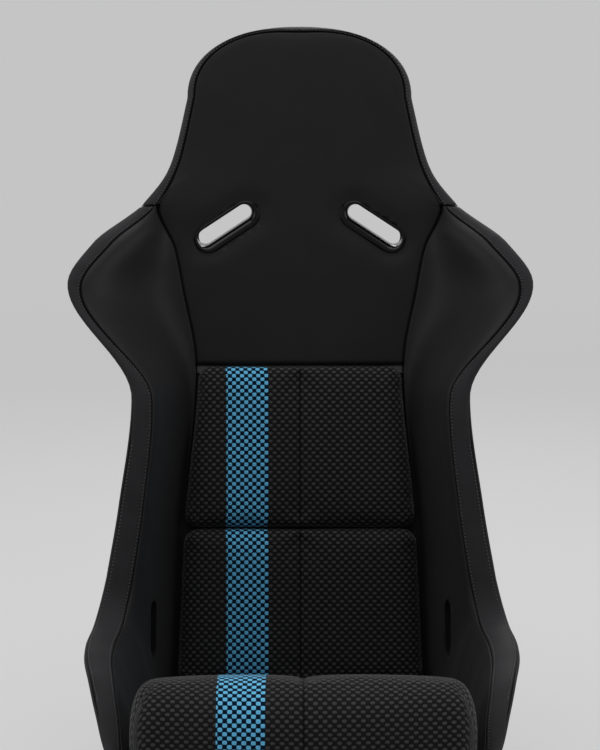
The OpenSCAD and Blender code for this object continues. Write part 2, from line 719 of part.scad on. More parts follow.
loop_d = liner_d + tape_t + tape_gap;
pad_back_d = loop_d + tape_t; // depth of the pads' backs
tape_end = 22;
module tapes(length) {
    for (side = [-1, 1]) translate([side * tape_x - tape_w / 2, 0, 0]) cube([tape_w, length, tape_t]);
}
upper_s = [back(pads_split) + 0.8, pads_s - 2];
lower_s = [back(pads_foot), back(pads_split) - 0.8];
module back_tape(ends, depth) {
    on_back(ends[0] + tape_end, depth) tapes(ends[1] - ends[0] - 2 * tape_end);
}
module seat_tape(depth) {
    translate([0, -pan_front + tape_end, depth]) tapes(pan_front + arc_s - 2 * tape_end);
}
module upper_hook_tape() {
    color(GLOSS) back_tape(upper_s, liner_d);
}
module lower_hook_tape() {
    color(GLOSS) back_tape(lower_s, liner_d);
}
module seat_hook_tape() {
    color(GLOSS) seat_tape(liner_d);
}

// --- pads and cushion: rings from the drawn-in foot over the bulge to the crown --------------
// rim_steps and length_steps place the columns and rows of points between edge and middle.

rim_steps = [1, 0.985, 0.965, 0.94, 0.88, 0.45, 0.06, 0];
length_steps = [1, 0.99, 0.975, 0.955, 0.91, 0.45, 0];
cushion_steps = [1, 0.99, 0.975, 0.955, 0.9, 0.76, 0.58, 0.38, 0.18, 0];
RINGS = 4;

function step_of(list, k) = let (m = len(list) - 1) list[m - abs(k - m)];
function sign_of(list, k) = k < len(list) - 1 ? -1 : 1;
function depth_in(list, k) = let (m = len(list) - 1) m - abs(k - m);
// Ring of a point, and its place along a line of the grid, from -1 to 1 on the outline
function ring(ka, kb, a, b) = min(RINGS, depth_in(a, ka), depth_in(b, kb));
function along(list, k, r) = sign_of(list, k) * step_of(list, k) / list[r];

// Back pads, flat at the back. t shrinks the form on all sides for what lies under the cover.
pad_insets = [3, 1.5, 0, 1.5, 9];
function pad_level(r, h) = [0, board_t, 0.45 * h, 0.84 * h, h][r];
function pad_half_w(s) = floor_w(clamp(s, back(pads_foot), pads_s)) - pad_gap;
function pad_point(ends, k, l, t) =
    let (
        r = ring(k, l, rim_steps, length_steps),
        a = along(rim_steps, k, r),
        b = along(length_steps, l, r),
        half = (ends[1] - ends[0]) / 2,
        bow = 1 - 0.04 * pow(a, 6) * pow(b, 6),
        s = (ends[0] + ends[1]) / 2 + (half - t - pad_insets[r]) * b * bow,
        h = pad_t - t,
        swell = r < RINGS ? 0 : pad_crown * (1 - a * a) * (1 - pow(b, 4)),
        groove = depth_in(rim_steps, k) == 7 && r == RINGS ? pad_crease : 0,
        c = spine(s),
        d = depth_dir(top_s),
        e = pad_back_d + pad_level(r, h) + swell - groove
    )
    [(pad_half_w(s) - t - pad_insets[r]) * a * bow, c[0] + d[0] * e, c[1] + d[1] * e];
function pad_grid(ends, t, cut = 0) = [
    for (l = [cut : 2 * (len(length_steps) - 1) - cut])
        [for (k = [cut : 2 * (len(rim_steps) - 1) - cut]) pad_point(ends, k, l, t)]
];
function pad_floor(ends, t) = [
    for (line = pad_grid(ends, t, 1))
        [
            for (p = line)
                let (
                    d = depth_dir(top_s),
                    up = [sin(recline), cos(recline)],
                    s = (p[1] - heel_y) * up[0] + p[2] * up[1],
                    e = pad_back_d + board_t
                )
                [p[0], heel_y + up[0] * s + d[0] * e, up[1] * s + d[1] * e]
        ]
];
// Only the outer ring of the foam reaches its floor, and its middle is one fan of triangles
module pad_body(ends) {
    top = pad_grid(ends, cloth_t, 1);
    count = len(top);
    cols = len(top[0]);
    loop = concat(
        [for (c = [0 : cols - 2]) c], [for (i = [0 : count - 2]) i * cols + cols - 1],
        [for (c = [cols - 1 : -1 : 1]) (count - 1) * cols + c], [for (i = [count - 1 : -1 : 1]) i * cols]
    );
    hub = count * cols;
    base = pad_floor(ends, cloth_t);
    polyhedron(
        points = [each each top, base[(count - 1) / 2][(cols - 1) / 2]],
        faces = [
            for (i = [0 : count - 2], c = [0 : cols - 2])
                let (a = i * cols + c, b = a + 1, e = a + cols, d = e + 1)
                each (c < (cols - 1) / 2 ? [[a, e, b], [e, d, b]] : [[a, e, d], [a, d, b]]),
            for (m = [0 : len(loop) - 1]) [loop[m], loop[(m + 1) % len(loop)], hub]
        ]
    );
}
module pad_cover(ends) {
    color(CHECK) skin(pad_grid(ends, cloth_t), pad_grid(ends, 0), mid = len(rim_steps) - 1);
}
module pad_foam(ends) {
    color(FOAM) pad_body(ends);
}
board_gap = 5;
board_glue = 0.02;
corner_cut = 14;
module pad_board(ends) {
    margin = cloth_t + pad_insets[0] + board_gap;
    length = ends[1] - ends[0] - 2 * margin;
    foot = pad_half_w(ends[0]) - margin - 1;
    top = pad_half_w(ends[1]) - margin - 1;
    color("#8a6a45") on_back(ends[0] + margin, pad_back_d) linear_extrude(board_t - board_glue)
        polygon([
            [-foot, corner_cut], [corner_cut - foot, 0], [foot - corner_cut, 0], [foot, corner_cut],
            [top, length - corner_cut], [top - corner_cut, length], [corner_cut - top, length],
            [-top, length - corner_cut]
        ]);
}
module upper_pad_cover() {
    pad_cover(upper_s);
}
module upper_pad_foam() {
    pad_foam(upper_s);
}
module upper_pad_board() {
    pad_board(upper_s);
}
module upper_pad_loop() {
    color(GLOSS) back_tape(upper_s, loop_d);
}
module lower_pad_cover() {
    pad_cover(lower_s);
}
module lower_pad_foam() {
    pad_foam(lower_s);
}
module lower_pad_board() {
    pad_board(lower_s);
}
module lower_pad_loop() {
    color(GLOSS) back_tape(lower_s, loop_d);
}

// Seat cushion: its underside follows the lining of the pan, its top rises to a front roll
lip_y = spine(lip_s)[0];
function pan_station(y) =
    y < -pan_front ? -pan_front - arc_len(ramp_r, asin((-pan_front - y) / ramp_r)) : y;
function pan_top(y) =
    y < lip_y ? pan_top(lip_y)
    : y < -pan_front ? let (s = pan_station(y)) spine(s)[1] + lining(s) * slant(s)
    : y < arc_s ? liner_d
    : heel_r - sqrt(pow(heel_r - liner_d, 2) - pow(y - arc_s, 2));
function cushion_low(y) = pan_top(y) + 2 * tape_t + tape_gap;
crest_y = cushion_front + 40;
function cushion_high(y) = curve([
    [cushion_front, cushion_crest - 9], [crest_y, cushion_crest], [crest_y + 58, cushion_crest - 13],
    [-pan_front, mix(cushion_mid, cushion_crest, 0.33)], [0, cushion_mid], [cushion_rear, cushion_mid - 22]
], y);
function cushion_half_w(y) = curve([
    [cushion_front, cushion_w / 2 - 2], [-195, cushion_w / 2],
    [-pan_front, mix(cushion_w, cushion_rear_w, 0.28) / 2], [0, mix(cushion_w, cushion_rear_w, 0.58) / 2],
    [cushion_rear, cushion_rear_w / 2]
], y);
side_insets = [6, 3, 0, 4, 20];
front_insets = [13, 9, 0, 6, 28];
rear_insets = [5, 3, 0, 3, 14];
cushion_levels = [0, 0.1, 0.42, 0.8, 1];
cushion_crown = 4;
cushion_crease = 2;
cushion_draw = 0.3;
// draw moves a point in to the foot of the cushion, for what lies flat on its base
function cushion_point(k, l, t, level = undef) =
    let (
        foot = !is_undef(level),
        r = foot ? 1 : ring(k, l, rim_steps, cushion_steps),
        a = along(rim_steps, k, r),
        b = along(cushion_steps, l, r),
        half = (cushion_rear - cushion_front) / 2,
        ends = b < 0 ? front_insets : rear_insets,
        bow = 1 - (b < 0 ? 0.035 : 0.05) * pow(a, 6) * pow(b, 6),
        draw_x = foot ? side_insets[0] - side_insets[1] + cushion_draw : 0,
        draw_y = foot ? ends[0] - ends[1] + cushion_draw : 0,
        y = (cushion_rear + cushion_front) / 2 + (half - t - ends[r] - draw_y) * b * bow,
        x = (cushion_half_w(y) - t - side_insets[r] - draw_x) * a * bow,
        low = cushion_low(y),
        swell = r < RINGS ? 0 : cushion_crown * (1 - a * a) * (1 - pow(b, 4)),
        groove = depth_in(rim_steps, k) == 7 && r == RINGS ? cushion_crease : 0,
        high = cushion_high(y) - t + swell - groove
    )
    [x, y, foot ? low + level : mix(low, high, cushion_levels[r])];
function cushion_grid(t, cut = 0, level = undef, within = 99) = [
    for (l = [cut : 2 * (len(cushion_steps) - 1) - cut])
        [
            for (k = [cut : 2 * (len(rim_steps) - 1) - cut])
                if (depth_in(rim_steps, k) <= within) cushion_point(k, l, t, level)
        ]
];
module cushion_cover() {
    color(CHECK) skin(cushion_grid(cloth_t), cushion_grid(0), mid = len(rim_steps) - 1);
}
module cushion_foam() {
    color(FOAM) skin(cushion_grid(cloth_t, 1, base_t), cushion_grid(cloth_t, 1), mid = len(rim_steps) - 2);
}
module cushion_base() {
    color(GLOSS)
        skin(
            cushion_grid(cloth_t, 1, 0, RINGS + 1), cushion_grid(cloth_t, 1, base_t, RINGS + 1),
            mid = RINGS + 1
        );
}
module cushion_loop() {
    color(GLOSS) seat_tape(loop_d);
}

shell();
edge_trim();
head_foam();
wing_foam(false);  // wing_foam_left
wing_foam(true);  // wing_foam_right
hip_foam(false);  // hip_foam_left
hip_foam(true);  // hip_foam_right
thigh_foam(false);  // thigh_foam_left
thigh_foam(true);  // thigh_foam_right
pan_liner();
back_liner();
head_cover();
head_band();
inner_cover(false);  // inner_cover_left
inner_cover(true);  // inner_cover_right
side_band(false);  // side_band_left
side_band(true);  // side_band_right
outer_cover(false);  // outer_cover_left
outer_cover(true);  // outer_cover_right
slot_bezel(false);  // slot_bezel_left
slot_bezel(true);  // slot_bezel_right
slot_backing(false);  // slot_backing_left
slot_backing(true);  // slot_backing_right
backing_screws();
side_inserts();
upper_hook_tape();
lower_hook_tape();
seat_hook_tape();
upper_pad_cover();
upper_pad_foam();
upper_pad_board();
upper_pad_loop();
lower_pad_cover();
lower_pad_foam();
lower_pad_board();
lower_pad_loop();
cushion_cover();
cushion_foam();
cushion_base();
cushion_loop();
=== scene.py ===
import math
from functools import partial
from types import SimpleNamespace

import bmesh
import bpy
import numpy as np
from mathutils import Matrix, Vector, noise


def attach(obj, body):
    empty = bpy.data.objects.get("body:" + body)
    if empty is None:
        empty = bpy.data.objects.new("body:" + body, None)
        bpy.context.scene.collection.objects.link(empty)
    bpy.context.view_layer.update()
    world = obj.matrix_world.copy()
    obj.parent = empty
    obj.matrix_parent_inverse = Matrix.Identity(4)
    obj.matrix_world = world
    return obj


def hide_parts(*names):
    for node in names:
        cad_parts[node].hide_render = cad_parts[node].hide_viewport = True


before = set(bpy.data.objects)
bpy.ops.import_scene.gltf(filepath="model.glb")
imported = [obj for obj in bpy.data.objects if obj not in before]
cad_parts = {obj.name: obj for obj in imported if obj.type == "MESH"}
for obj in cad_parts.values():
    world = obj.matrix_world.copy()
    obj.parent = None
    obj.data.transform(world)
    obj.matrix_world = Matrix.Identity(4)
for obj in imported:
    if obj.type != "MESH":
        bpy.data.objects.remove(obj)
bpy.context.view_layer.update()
mm = 0.001
weldGap, fineGap = 0.02 * mm, 0.001 * mm  # points closer than this are one
noSeam = 99.0  # mm, stands for no seam near
print("frame loaded:", len(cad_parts), "nodes")


def mix(a, b, t):
    return a + (b - a) * t


def clamp(v, low, high):
    return max(low, min(high, v))


def unit(v):
    return v / np.linalg.norm(v)


def cross2(a, b):
    return a[0] * b[1] - a[1] * b[0]


def slopeAt(points, i):
    rise = [(b[1] - a[1]) / (b[0] - a[0]) for a, b in zip(points, points[1:])]
    if i == 0 or i == len(points) - 1:
        return rise[0 if i == 0 else -1]
    a, b = rise[i - 1], rise[i]
    return 0 if a * b <= 0 else 2 * a * b / (a + b)


def curve(points, s):  # smooth through points, with no overshoot between them
    i = 0
    while i < len(points) - 2 and s >= points[i + 1][0]:
        i += 1
    h = points[i + 1][0] - points[i][0]
    t = clamp((s - points[i][0]) / h, 0, 1)
    return (points[i][1] * (1 + 2 * t) * (1 - t) ** 2 + slopeAt(points, i) * h * t * (1 - t) ** 2
            + points[i + 1][1] * t * t * (3 - 2 * t) - slopeAt(points, i + 1) * h * t * t * (1 - t))


def bezier(p, t):
    u = 1 - t
    return u ** 3 * p[0] + 3 * u * u * t * p[1] + 3 * u * t * t * p[2] + t ** 3 * p[3]


def arch(p, t):
    return (1 - t) ** 2 * p[0] + 2 * t * (1 - t) * p[1] + t * t * p[2]


def softDip(d, width):
    return math.exp(-(d / width) ** 2)


seatForm = {  # the moulded seat, in mm and degrees, as in the part
    "panFront": 100, "heelY": 187, "heelR": 85, "rampR": 194, "rampTurn": 58,
    "lipW": 392, "hipW": 497, "hipH": 187, "sideW": 410, "recline": 10,
    "hipTop": 216, "waistAt": 430, "shoulderAt": 568, "neckAt": 674, "headAt": 813, "headTop": 904,
    "waistW": 404, "shoulderW": 562, "neckW": 398, "headW": 284,
    "waistH": 172, "shoulderH": 147, "neckH": 43, "headH": 19,
    "shellT": 4, "coverT": 2, "outerT": 1.5, "sidePad": 27, "linerD": 20, "headD": 38,
    "roll": 0.88,  # how far the bolster stays upright before it rolls over to its seam
    "bandHip": 34, "bandWaist": 25, "bandShoulder": 15, "bandHead": 9.5,
    "wrapW": 14, "trimW": 8, "trimT": 3,
    "padsFoot": 76, "padsSplit": 271, "padsTop": 475,
    "padFootW": 306, "padSplitW": 289, "padTopW": 256, "padGap": 2,
    "cushionW": 376, "cushionRearW": 314, "cushionGap": 1.5,
    "fanFoot": 46, "archPower": 2.25, "domePower": 2.4,  # the head: where its rows meet, its arch and dome
    "steepest": 1.35,  # limit on how much thicker the padding measures across a slanted row
}
f = SimpleNamespace(**seatForm)

backTurn = 90 - f.recline
heelTangent = f.heelR * math.tan(math.radians(backTurn / 2))
arcS = f.heelY - heelTangent
backS = arcS + f.heelR * math.radians(backTurn)
lipS = -f.panFront - f.rampR * math.radians(f.rampTurn)


def back(d):  # place along the centre line, from a distance up the back
    return backS - heelTangent + d


hipS, waistS, padsS = back(f.hipTop), back(f.waistAt), back(f.padsTop)
shoulderS, neckS, headS, topS = back(f.shoulderAt), back(f.neckAt), back(f.headAt), back(f.headTop)
rampS, frontS, kneeS, fanS = lipS + 44, lipS + 98, -45, -10
collarS, napeS, crownS = mix(shoulderS, neckS, 0.5), mix(neckS, headS, 0.34), mix(neckS, headS, 0.57)
upSin, upCos = math.sin(math.radians(f.recline)), math.cos(math.radians(f.recline))


def spine(s):
    if s < -f.panFront:
        a = (-f.panFront - s) / f.rampR
        return np.array([-f.panFront - f.rampR * math.sin(a), f.rampR * (1 - math.cos(a))])
    if s < arcS:
        return np.array([s, 0.0])
    if s < backS:
        a = (s - arcS) / f.heelR
        return np.array([arcS + f.heelR * math.sin(a), f.heelR * (1 - math.cos(a))])
    d = s - backS + heelTangent
    return np.array([f.heelY + d * upSin, d * upCos])


def spineTurn(s):
    if s < -f.panFront:
        return math.degrees((s + f.panFront) / f.rampR)
    return 0 if s < arcS else math.degrees((s - arcS) / f.heelR) if s < backS else backTurn


def depthTurn(s):
    return backTurn * clamp((s - fanS) / (hipS - fanS), 0, 1)


def depthDir(s):
    a = math.radians(depthTurn(s))
    return np.array([-math.sin(a), math.cos(a)])


def slant(s):
    return min(f.steepest, 1 / math.cos(math.radians(spineTurn(s) - depthTurn(s))))


thighW = [
    (lipS, f.lipW / 2), (rampS, mix(f.lipW, f.hipW, 0.32) / 2), (frontS, mix(f.lipW, f.hipW, 0.58) / 2),
    (-140, mix(f.lipW, f.hipW, 0.81) / 2), (-80, mix(f.lipW, f.hipW, 0.98) / 2), (kneeS, f.hipW / 2),
    (fanS, f.hipW / 2 - 3.5)]
thighH = [
    (lipS, 12), (rampS, f.hipH * 0.33), (frontS, f.hipH * 0.67), (-140, f.hipH * 0.9),
    (-80, f.hipH - 4), (kneeS, f.hipH), (fanS, f.hipH + 6)]
backW = [
    (hipS, mix(f.hipW, f.waistW, 0.38) / 2), (mix(hipS, waistS, 0.4), mix(f.hipW, f.waistW, 0.68) / 2),
    (waistS, f.waistW / 2), (shoulderS, f.shoulderW / 2),
    (collarS, mix(f.shoulderW, f.neckW, 0.33) / 2), (neckS, f.neckW / 2),
    (napeS, mix(f.neckW, f.headW, 0.58) / 2),
    (crownS, mix(f.neckW, f.headW, 0.76) / 2), (headS, f.headW / 2)]
backH = [
    (hipS, mix(f.hipH, f.waistH, 0.2)), (mix(hipS, waistS, 0.4), f.waistH + 4), (waistS, f.waistH),
    (shoulderS, f.shoulderH), (collarS, mix(f.shoulderH, f.neckH, 0.38)),
    (neckS, f.neckH), (napeS, f.headH + 2), (crownS, f.headH),
    (headS, f.headH)]
# between thighs and back the rim turns up in one bow, seen from the side
bowFoot = spine(fanS) + depthDir(fanS) * thighH[-1][1]
bowHead = spine(hipS) + depthDir(hipS) * backH[0][1]
bowStart = np.array([1, slopeAt(thighH, len(thighH) - 1)])
bowEnd = np.array([upSin, upCos]) + depthDir(hipS) * slopeAt(backH, 0)
bowKnee = bowFoot + bowStart * cross2(bowHead - bowFoot, bowEnd) / cross2(bowStart, bowEnd)
bow = [bowFoot, bowKnee, bowHead]
bowW = [thighW[-1][1], backW[0][1] + 10, backW[0][1]]


def bowAt(s):  # where along the bow the place s has its rim
    c, d = spine(s), depthDir(s)
    p, q, r = cross2(bow[0] - 2 * bow[1] + bow[2], d), 2 * cross2(bow[1] - bow[0], d), cross2(bow[0] - c, d)
    return -2 * r / (q + math.copysign(math.sqrt(max(0, q * q - 4 * p * r)), q))


def rimW(s):
    return curve(thighW, s) if s < fanS else arch(bowW, bowAt(s)) if s < hipS else curve(backW, s)


def rimH(s):
    if s < fanS:
        return curve(thighH, s)
    return float((arch(bow, bowAt(s)) - spine(s)) @ depthDir(s)) if s < hipS else curve(backH, s)


def seamRise(s):
    return curve([(lipS, 0), (shoulderS, 0), (mix(shoulderS, neckS, 0.6), 0), (neckS, 4),
                  (napeS, 14), (headS, f.headD - f.headH - 2)], s)


def bandW(s):
    b = f.bandShoulder
    return curve([
        (lipS, 9), (frontS, 26), (0, f.bandHip), (hipS, f.bandHip - 2), (waistS, f.bandWaist),
        (waistS + 72, b), (shoulderS - 30, b - 1), (collarS, b + 7), (neckS, b + 4),
        (napeS, f.bandHead + 2), (headS, f.bandHead)], s)


def floorW(s):
    g = f.cushionGap
    return curve([
        (lipS, f.cushionW / 2 - 9), (frontS, f.cushionW / 2 + g - 1),
        (-f.panFront, mix(f.cushionW, f.cushionRearW, 0.28) / 2 + g),
        (0, mix(f.cushionW, f.cushionRearW, 0.58) / 2 + g),
        (arcS, mix(f.cushionW, f.cushionRearW, 0.94) / 2 + g),
        (back(f.padsFoot), f.padFootW / 2 + f.padGap), (back(f.padsSplit), f.padSplitW / 2 + f.padGap),
        (padsS, f.padTopW / 2 + f.padGap), (shoulderS, f.padTopW / 2 + 18),
        (collarS, mix(f.padTopW + 36, f.neckW, 0.2) / 2),
        (neckS, f.neckW / 2 - f.bandShoulder - 6), (napeS, f.headW * 0.46),
        (headS, f.headW * 0.36)], s)


def wallW(s):
    return curve([
        (lipS, f.lipW / 2 - 4), (rampS, f.sideW / 2 - 5), (frontS, f.sideW / 2), (hipS, f.sideW / 2),
        (waistS, f.waistW / 2 - 13), (shoulderS, f.shoulderW / 2 - 36),
        (collarS, mix(f.shoulderW, f.neckW, 0.37) / 2 - 30), (neckS, f.neckW / 2 - 16),
        (crownS, mix(f.neckW, f.headW, 0.76) / 2 - 10), (headS, f.headW / 2 - 10)], s)


def sideLow(s):
    return curve([
        (lipS, 3), (rampS, 20), (frontS, 35), (hipS, 35), (waistS, 40), (shoulderS, 50),
        (collarS, 45), (neckS, f.neckH * 0.42), (napeS, f.headH * 0.5),
        (headS, f.headH * 0.37)], s)


def sideHigh(s):
    return curve([
        (lipS, 4.5), (rampS, 30), (frontS, 85), (hipS, 85), (waistS, 60), (shoulderS, 60),
        (collarS, 52), (neckS, f.neckH * 0.53), (napeS, f.headH * 0.65),
        (headS, f.headH * 0.48)], s)


def lining(s):
    return curve([(lipS, 7), (frontS, f.linerD - 3), (-f.panFront, f.linerD), (0, f.linerD)], s)


def sideLining(s):
    if s < padsS - 140:
        return lining(s)
    return curve([(padsS - 140, f.linerD), (padsS, f.headD), (topS, f.headD)], s)


def rowAt(s):
    padding = sideLining(s) if s < padsS else f.headD
    return SimpleNamespace(s=s, turn=0.0, w=rimW(s), h=rimH(s), lining=padding)


def archRow(a):  # over the head the rows fan out to an arched top
    ca, sa = max(0.0, math.cos(math.radians(a))), math.sin(math.radians(a))
    w = f.headW / 2 * ca ** (2 / f.archPower)
    up = (topS - headS) * sa ** (2 / f.archPower) - f.fanFoot * sa
    return SimpleNamespace(
        s=headS + f.fanFoot * sa, turn=math.atan2(up, w), w=math.hypot(w, up), h=f.headH, lining=f.headD)


def place(row, u, e):
    c = spine(row.s + u * math.sin(row.turn)) + depthDir(row.s) * e
    return [u * math.cos(row.turn), c[0], c[1]]


def leftOf(a, b):
    t = unit(b - a)
    return np.array([-t[1], t[0]])


def runAlong(points):  # length along a line at each of its points
    return np.concatenate([[0], np.cumsum(np.linalg.norm(np.diff(points, axis=0), axis=1))])


def pointsAt(places, run, points):  # points of a line at given lengths along it
    return np.stack([np.interp(places, run, points[:, k]) for k in range(points.shape[1])], axis=-1)


nearSeam = (0, 0.5, 1.1, 1.9, 3.0, 4.6, 7.0, 11.0)  # mm, closer rows and columns beside a seam
nearRoom = 34  # mm, on a shorter line they draw together


def spread(length, count, start=False, end=False):
    k = min(1, length / nearRoom)
    a = [x * k for x in nearSeam] if start else [0]
    b = [length - x * k for x in reversed(nearSeam)] if end else [length]
    return np.array(a + list(np.linspace(a[-1], b[0], count + 2)[1:-1]) + b)


def sectionOf(row):
    head = row.turn > 0
    band = f.bandHead if head else bandW(row.s)
    xi = row.w * 0.72 if head else min(floorW(row.s), row.w - bandW(row.s) - 3)
    ws = row.w - 10 if head else wallW(row.s)
    h0, h1 = sideLow(row.s), sideHigh(row.s)
    bend = [np.array([xi, 0]), np.array([ws, 0]), np.array([ws, h0])]
    rim = np.array([row.w - f.coverT, row.h])
    flare = [np.array([ws, h1]), np.array([ws, mix(h1, row.h, 0.5)]), rim]
    run = np.linalg.norm(rim - flare[0])
    wrap, trim = min(f.wrapW, 0.38 * run) / run, min(f.trimW, 0.3 * run) / run
    e0 = row.lining * slant(row.s)
    xs, es = row.w - band, row.h + seamRise(row.s)
    xw = min(mix(xi, xs, 0.9), max(ws - f.sidePad, mix(xi, xs, 0.3)))
    wall = [np.array(p) for p in ([xi, e0], [mix(xi, xw, 0.7), e0], [xw, mix(e0, es, f.roll)], [xs, es])]
    steps = np.linspace(0, 1, 40)
    floorLine = [np.array([xi * t, e0]) for t in steps]
    wallLine = [bezier(wall, t) for t in steps]
    even = clamp((row.s - neckS + 30) / 100, 0, 1)
    even = even * even * (3 - 2 * even)  # the head is one even dome from seam to seam
    for p in floorLine + wallLine:
        p[1] = mix(p[1], e0 + (es - e0) * (p[0] / xs) ** f.domePower, even)
    last = arch(flare, 1 - wrap)
    rimIn = leftOf(last, rim)
    edge = rim + 0.8 * unit(rim - last) - rimIn * f.coverT
    crown = clamp(row.h * 0.35, 6, 10)
    over = [np.array([xs, es]), np.array([xs + band * 0.35, es + 3]), edge + [0, crown], edge]
    bendLine = [arch(bend, t) for t in steps]
    flareLine = [arch(flare, t) for t in steps]
    return SimpleNamespace(
        xi=xi, floor=floorLine, wall=wallLine,
        band=[bezier(over, t) for t in steps],
        wrap=[edge] + [arch(flare, t) - leftOf(arch(flare, t - 0.02), arch(flare, t)) * f.coverT
                       for t in np.linspace(1, 1 - wrap, 6)][1:],
        shellFloor=[np.array([0, 0]), np.array([xi, 0])],
        shellSide=bendLine + flareLine,
        trim=[arch(flare, t) for t in np.linspace(1 - wrap - trim, 1 - wrap, 7)],
        cover=[arch(flare, t) for t in np.linspace(0, 1 - wrap - trim, 20)],
        bound=slant(row.s))


def stationsBetween(a, b, step, start=False, end=False):
    return [a + x for x in spread(b - a, max(2, round((b - a) / step)), start, end)]


lowStations = stationsBetween(lipS, padsS, 10)
midStations = stationsBetween(padsS, neckS, 9, start=True, end=True)
highStations = stationsBetween(neckS, headS, 9, start=True)
stations = lowStations + midStations[1:] + highStations[1:]
rows = [rowAt(s) for s in stations] + [archRow(a) for a in np.linspace(0, 90, 25)[1:]]
sections = [sectionOf(r) for r in rows]
padsRow = len(lowStations) - 1
neckRow = padsRow + len(midStations) - 1
heelRow = min(range(len(stations)), key=lambda i: abs(stations[i] - backS))
print("rows across the seat:", len(rows))


def gridOf(name, count, start=False, end=False, offset=0.0, last=None):
    # points and lengths along the named line of every row, offset outwards where asked
    points, lengths = [], []
    for row, section in list(zip(rows, sections))[:last]:
        line = np.array(getattr(section, name))
        run = runAlong(line)
        at = spread(run[-1], count, start, end)
        p = pointsAt(at, run, line)
        if offset:
            side = np.gradient(p, axis=0)
            side = np.stack([-side[:, 1], side[:, 0]], axis=1) / np.linalg.norm(side, axis=1)[:, None]
            p = p + side * offset
        points.append([place(row, u, e) for u, e in p])
        lengths.append(at)
    return np.array(points) * mm, np.array(lengths)


def gridNormals(p):
    across, along = np.gradient(p, axis=1), np.gradient(p, axis=0)
    n = np.cross(across, along)
    return n / np.maximum(np.linalg.norm(n, axis=2, keepdims=True), 1e-12)


def objectOf(name, mesh, smooth=True):
    piece = bpy.data.objects.new(name, mesh)
    bpy.context.scene.collection.objects.link(piece)
    mesh.polygons.foreach_set("use_smooth", [smooth] * len(mesh.polygons))
    return piece


def newPiece(name, verts, faces, smooth=True):
    mesh = bpy.data.meshes.new(name)
    mesh.from_pydata([tuple(v) for v in verts], [], faces)
    mesh.update()
    return objectOf(name, mesh, smooth)


def tidyMesh(piece, weld=weldGap):
    b = bmesh.new()
    b.from_mesh(piece.data)
    bmesh.ops.remove_doubles(b, verts=b.verts, dist=weld)
    bmesh.ops.dissolve_degenerate(b, edges=b.edges, dist=1e-7)
    bmesh.ops.delete(b, geom=[v for v in b.verts if not v.link_faces], context="VERTS")
    bmesh.ops.recalc_face_normals(b, faces=b.faces)
    b.to_mesh(piece.data)
    b.free()


def setAttribute(piece, name, values):
    attribute = piece.data.attributes.new(name, "FLOAT_VECTOR", "POINT")
    attribute.data.foreach_set("vector", np.asarray(values, np.float32).reshape(-1))


def slabFaces(n, m, openEnd=False, keep=None):
    # closed skin between an upper grid (first) and a lower one of n rows and m columns
    size = n * m
    cells = {(i, j) for i in range(n - 1) for j in range(m - 1) if keep is None or keep(i, j)}
    faces = []
    for i, j in sorted(cells):
        a, b, c, d = i * m + j, i * m + j + 1, (i + 1) * m + j + 1, (i + 1) * m + j
        faces += [(a, b, c, d), (size + a, size + d, size + c, size + b)]
        for di, dj, p, q in ((-1, 0, a, b), (0, 1, b, c), (1, 0, c, d), (0, -1, d, a)):
            if (i + di, j + dj) not in cells and not (openEnd and i + di == n - 1):
                faces.append((p, size + p, size + q, q))
    return faces


def ringFaces(rings, count, closed=False, first=0):  # faces between rings of points, one after another
    return [(first + r * count + k, first + r * count + (k + 1) % count,
             first + (r + 1) % rings * count + (k + 1) % count, first + (r + 1) % rings * count + k)
            for r in range(rings if closed else rings - 1) for k in range(count)]


def mirrored(grid):
    return grid * np.array([-1, 1, 1])


def bothHalves(grid, flip=mirrored):
    return np.concatenate([flip(grid)[:, :0:-1], grid], axis=1)


def slab(name, top, low, gaps=None, openEnd=False, keep=None):
    n, m = top.shape[:2]
    points = np.concatenate([top.reshape(-1, 3), low.reshape(-1, 3)])
    piece = newPiece(name, points, slabFaces(n, m, openEnd, keep))
    # distances to seam, sewn line and outer line, for the leather; far off where there is none
    gaps = np.full((n * m, 3), noSeam) if gaps is None else gaps.reshape(-1, 3)
    setAttribute(piece, "seamGap", np.concatenate([gaps] * 2))
    tidyMesh(piece)
    return piece


def bakeModifiers(piece):  # its modifiers become part of its mesh
    graph = bpy.context.evaluated_depsgraph_get()
    made = bpy.data.meshes.new_from_object(piece.evaluated_get(graph), depsgraph=graph)
    old = piece.data
    piece.modifiers.clear()
    piece.data = made
    bpy.data.meshes.remove(old)


def cutThrough(piece, cutters):
    for c in cutters:
        cut = piece.modifiers.new("cut", "BOOLEAN")
        cut.operation, cut.solver, cut.object = "DIFFERENCE", "EXACT", c
    bakeModifiers(piece)


def obround(length, width, steps=12):
    r, out = width / 2, []
    for side in (1, -1):
        for a in np.linspace(-90, 90, steps + 1):
            out.append((side * ((length - width) / 2 + r * math.cos(math.radians(a))),
                        side * r * math.sin(math.radians(a))))
    return np.array(out)


def prism(name, near, far):
    n = len(near)
    faces = [tuple(range(n)), tuple(range(2 * n - 1, n - 1, -1))]
    faces += [(k, k + n, (k + 1) % n + n, (k + 1) % n) for k in range(n)]
    piece = newPiece(name, np.concatenate([near, far]), faces, smooth=False)
    tidyMesh(piece)
    return piece


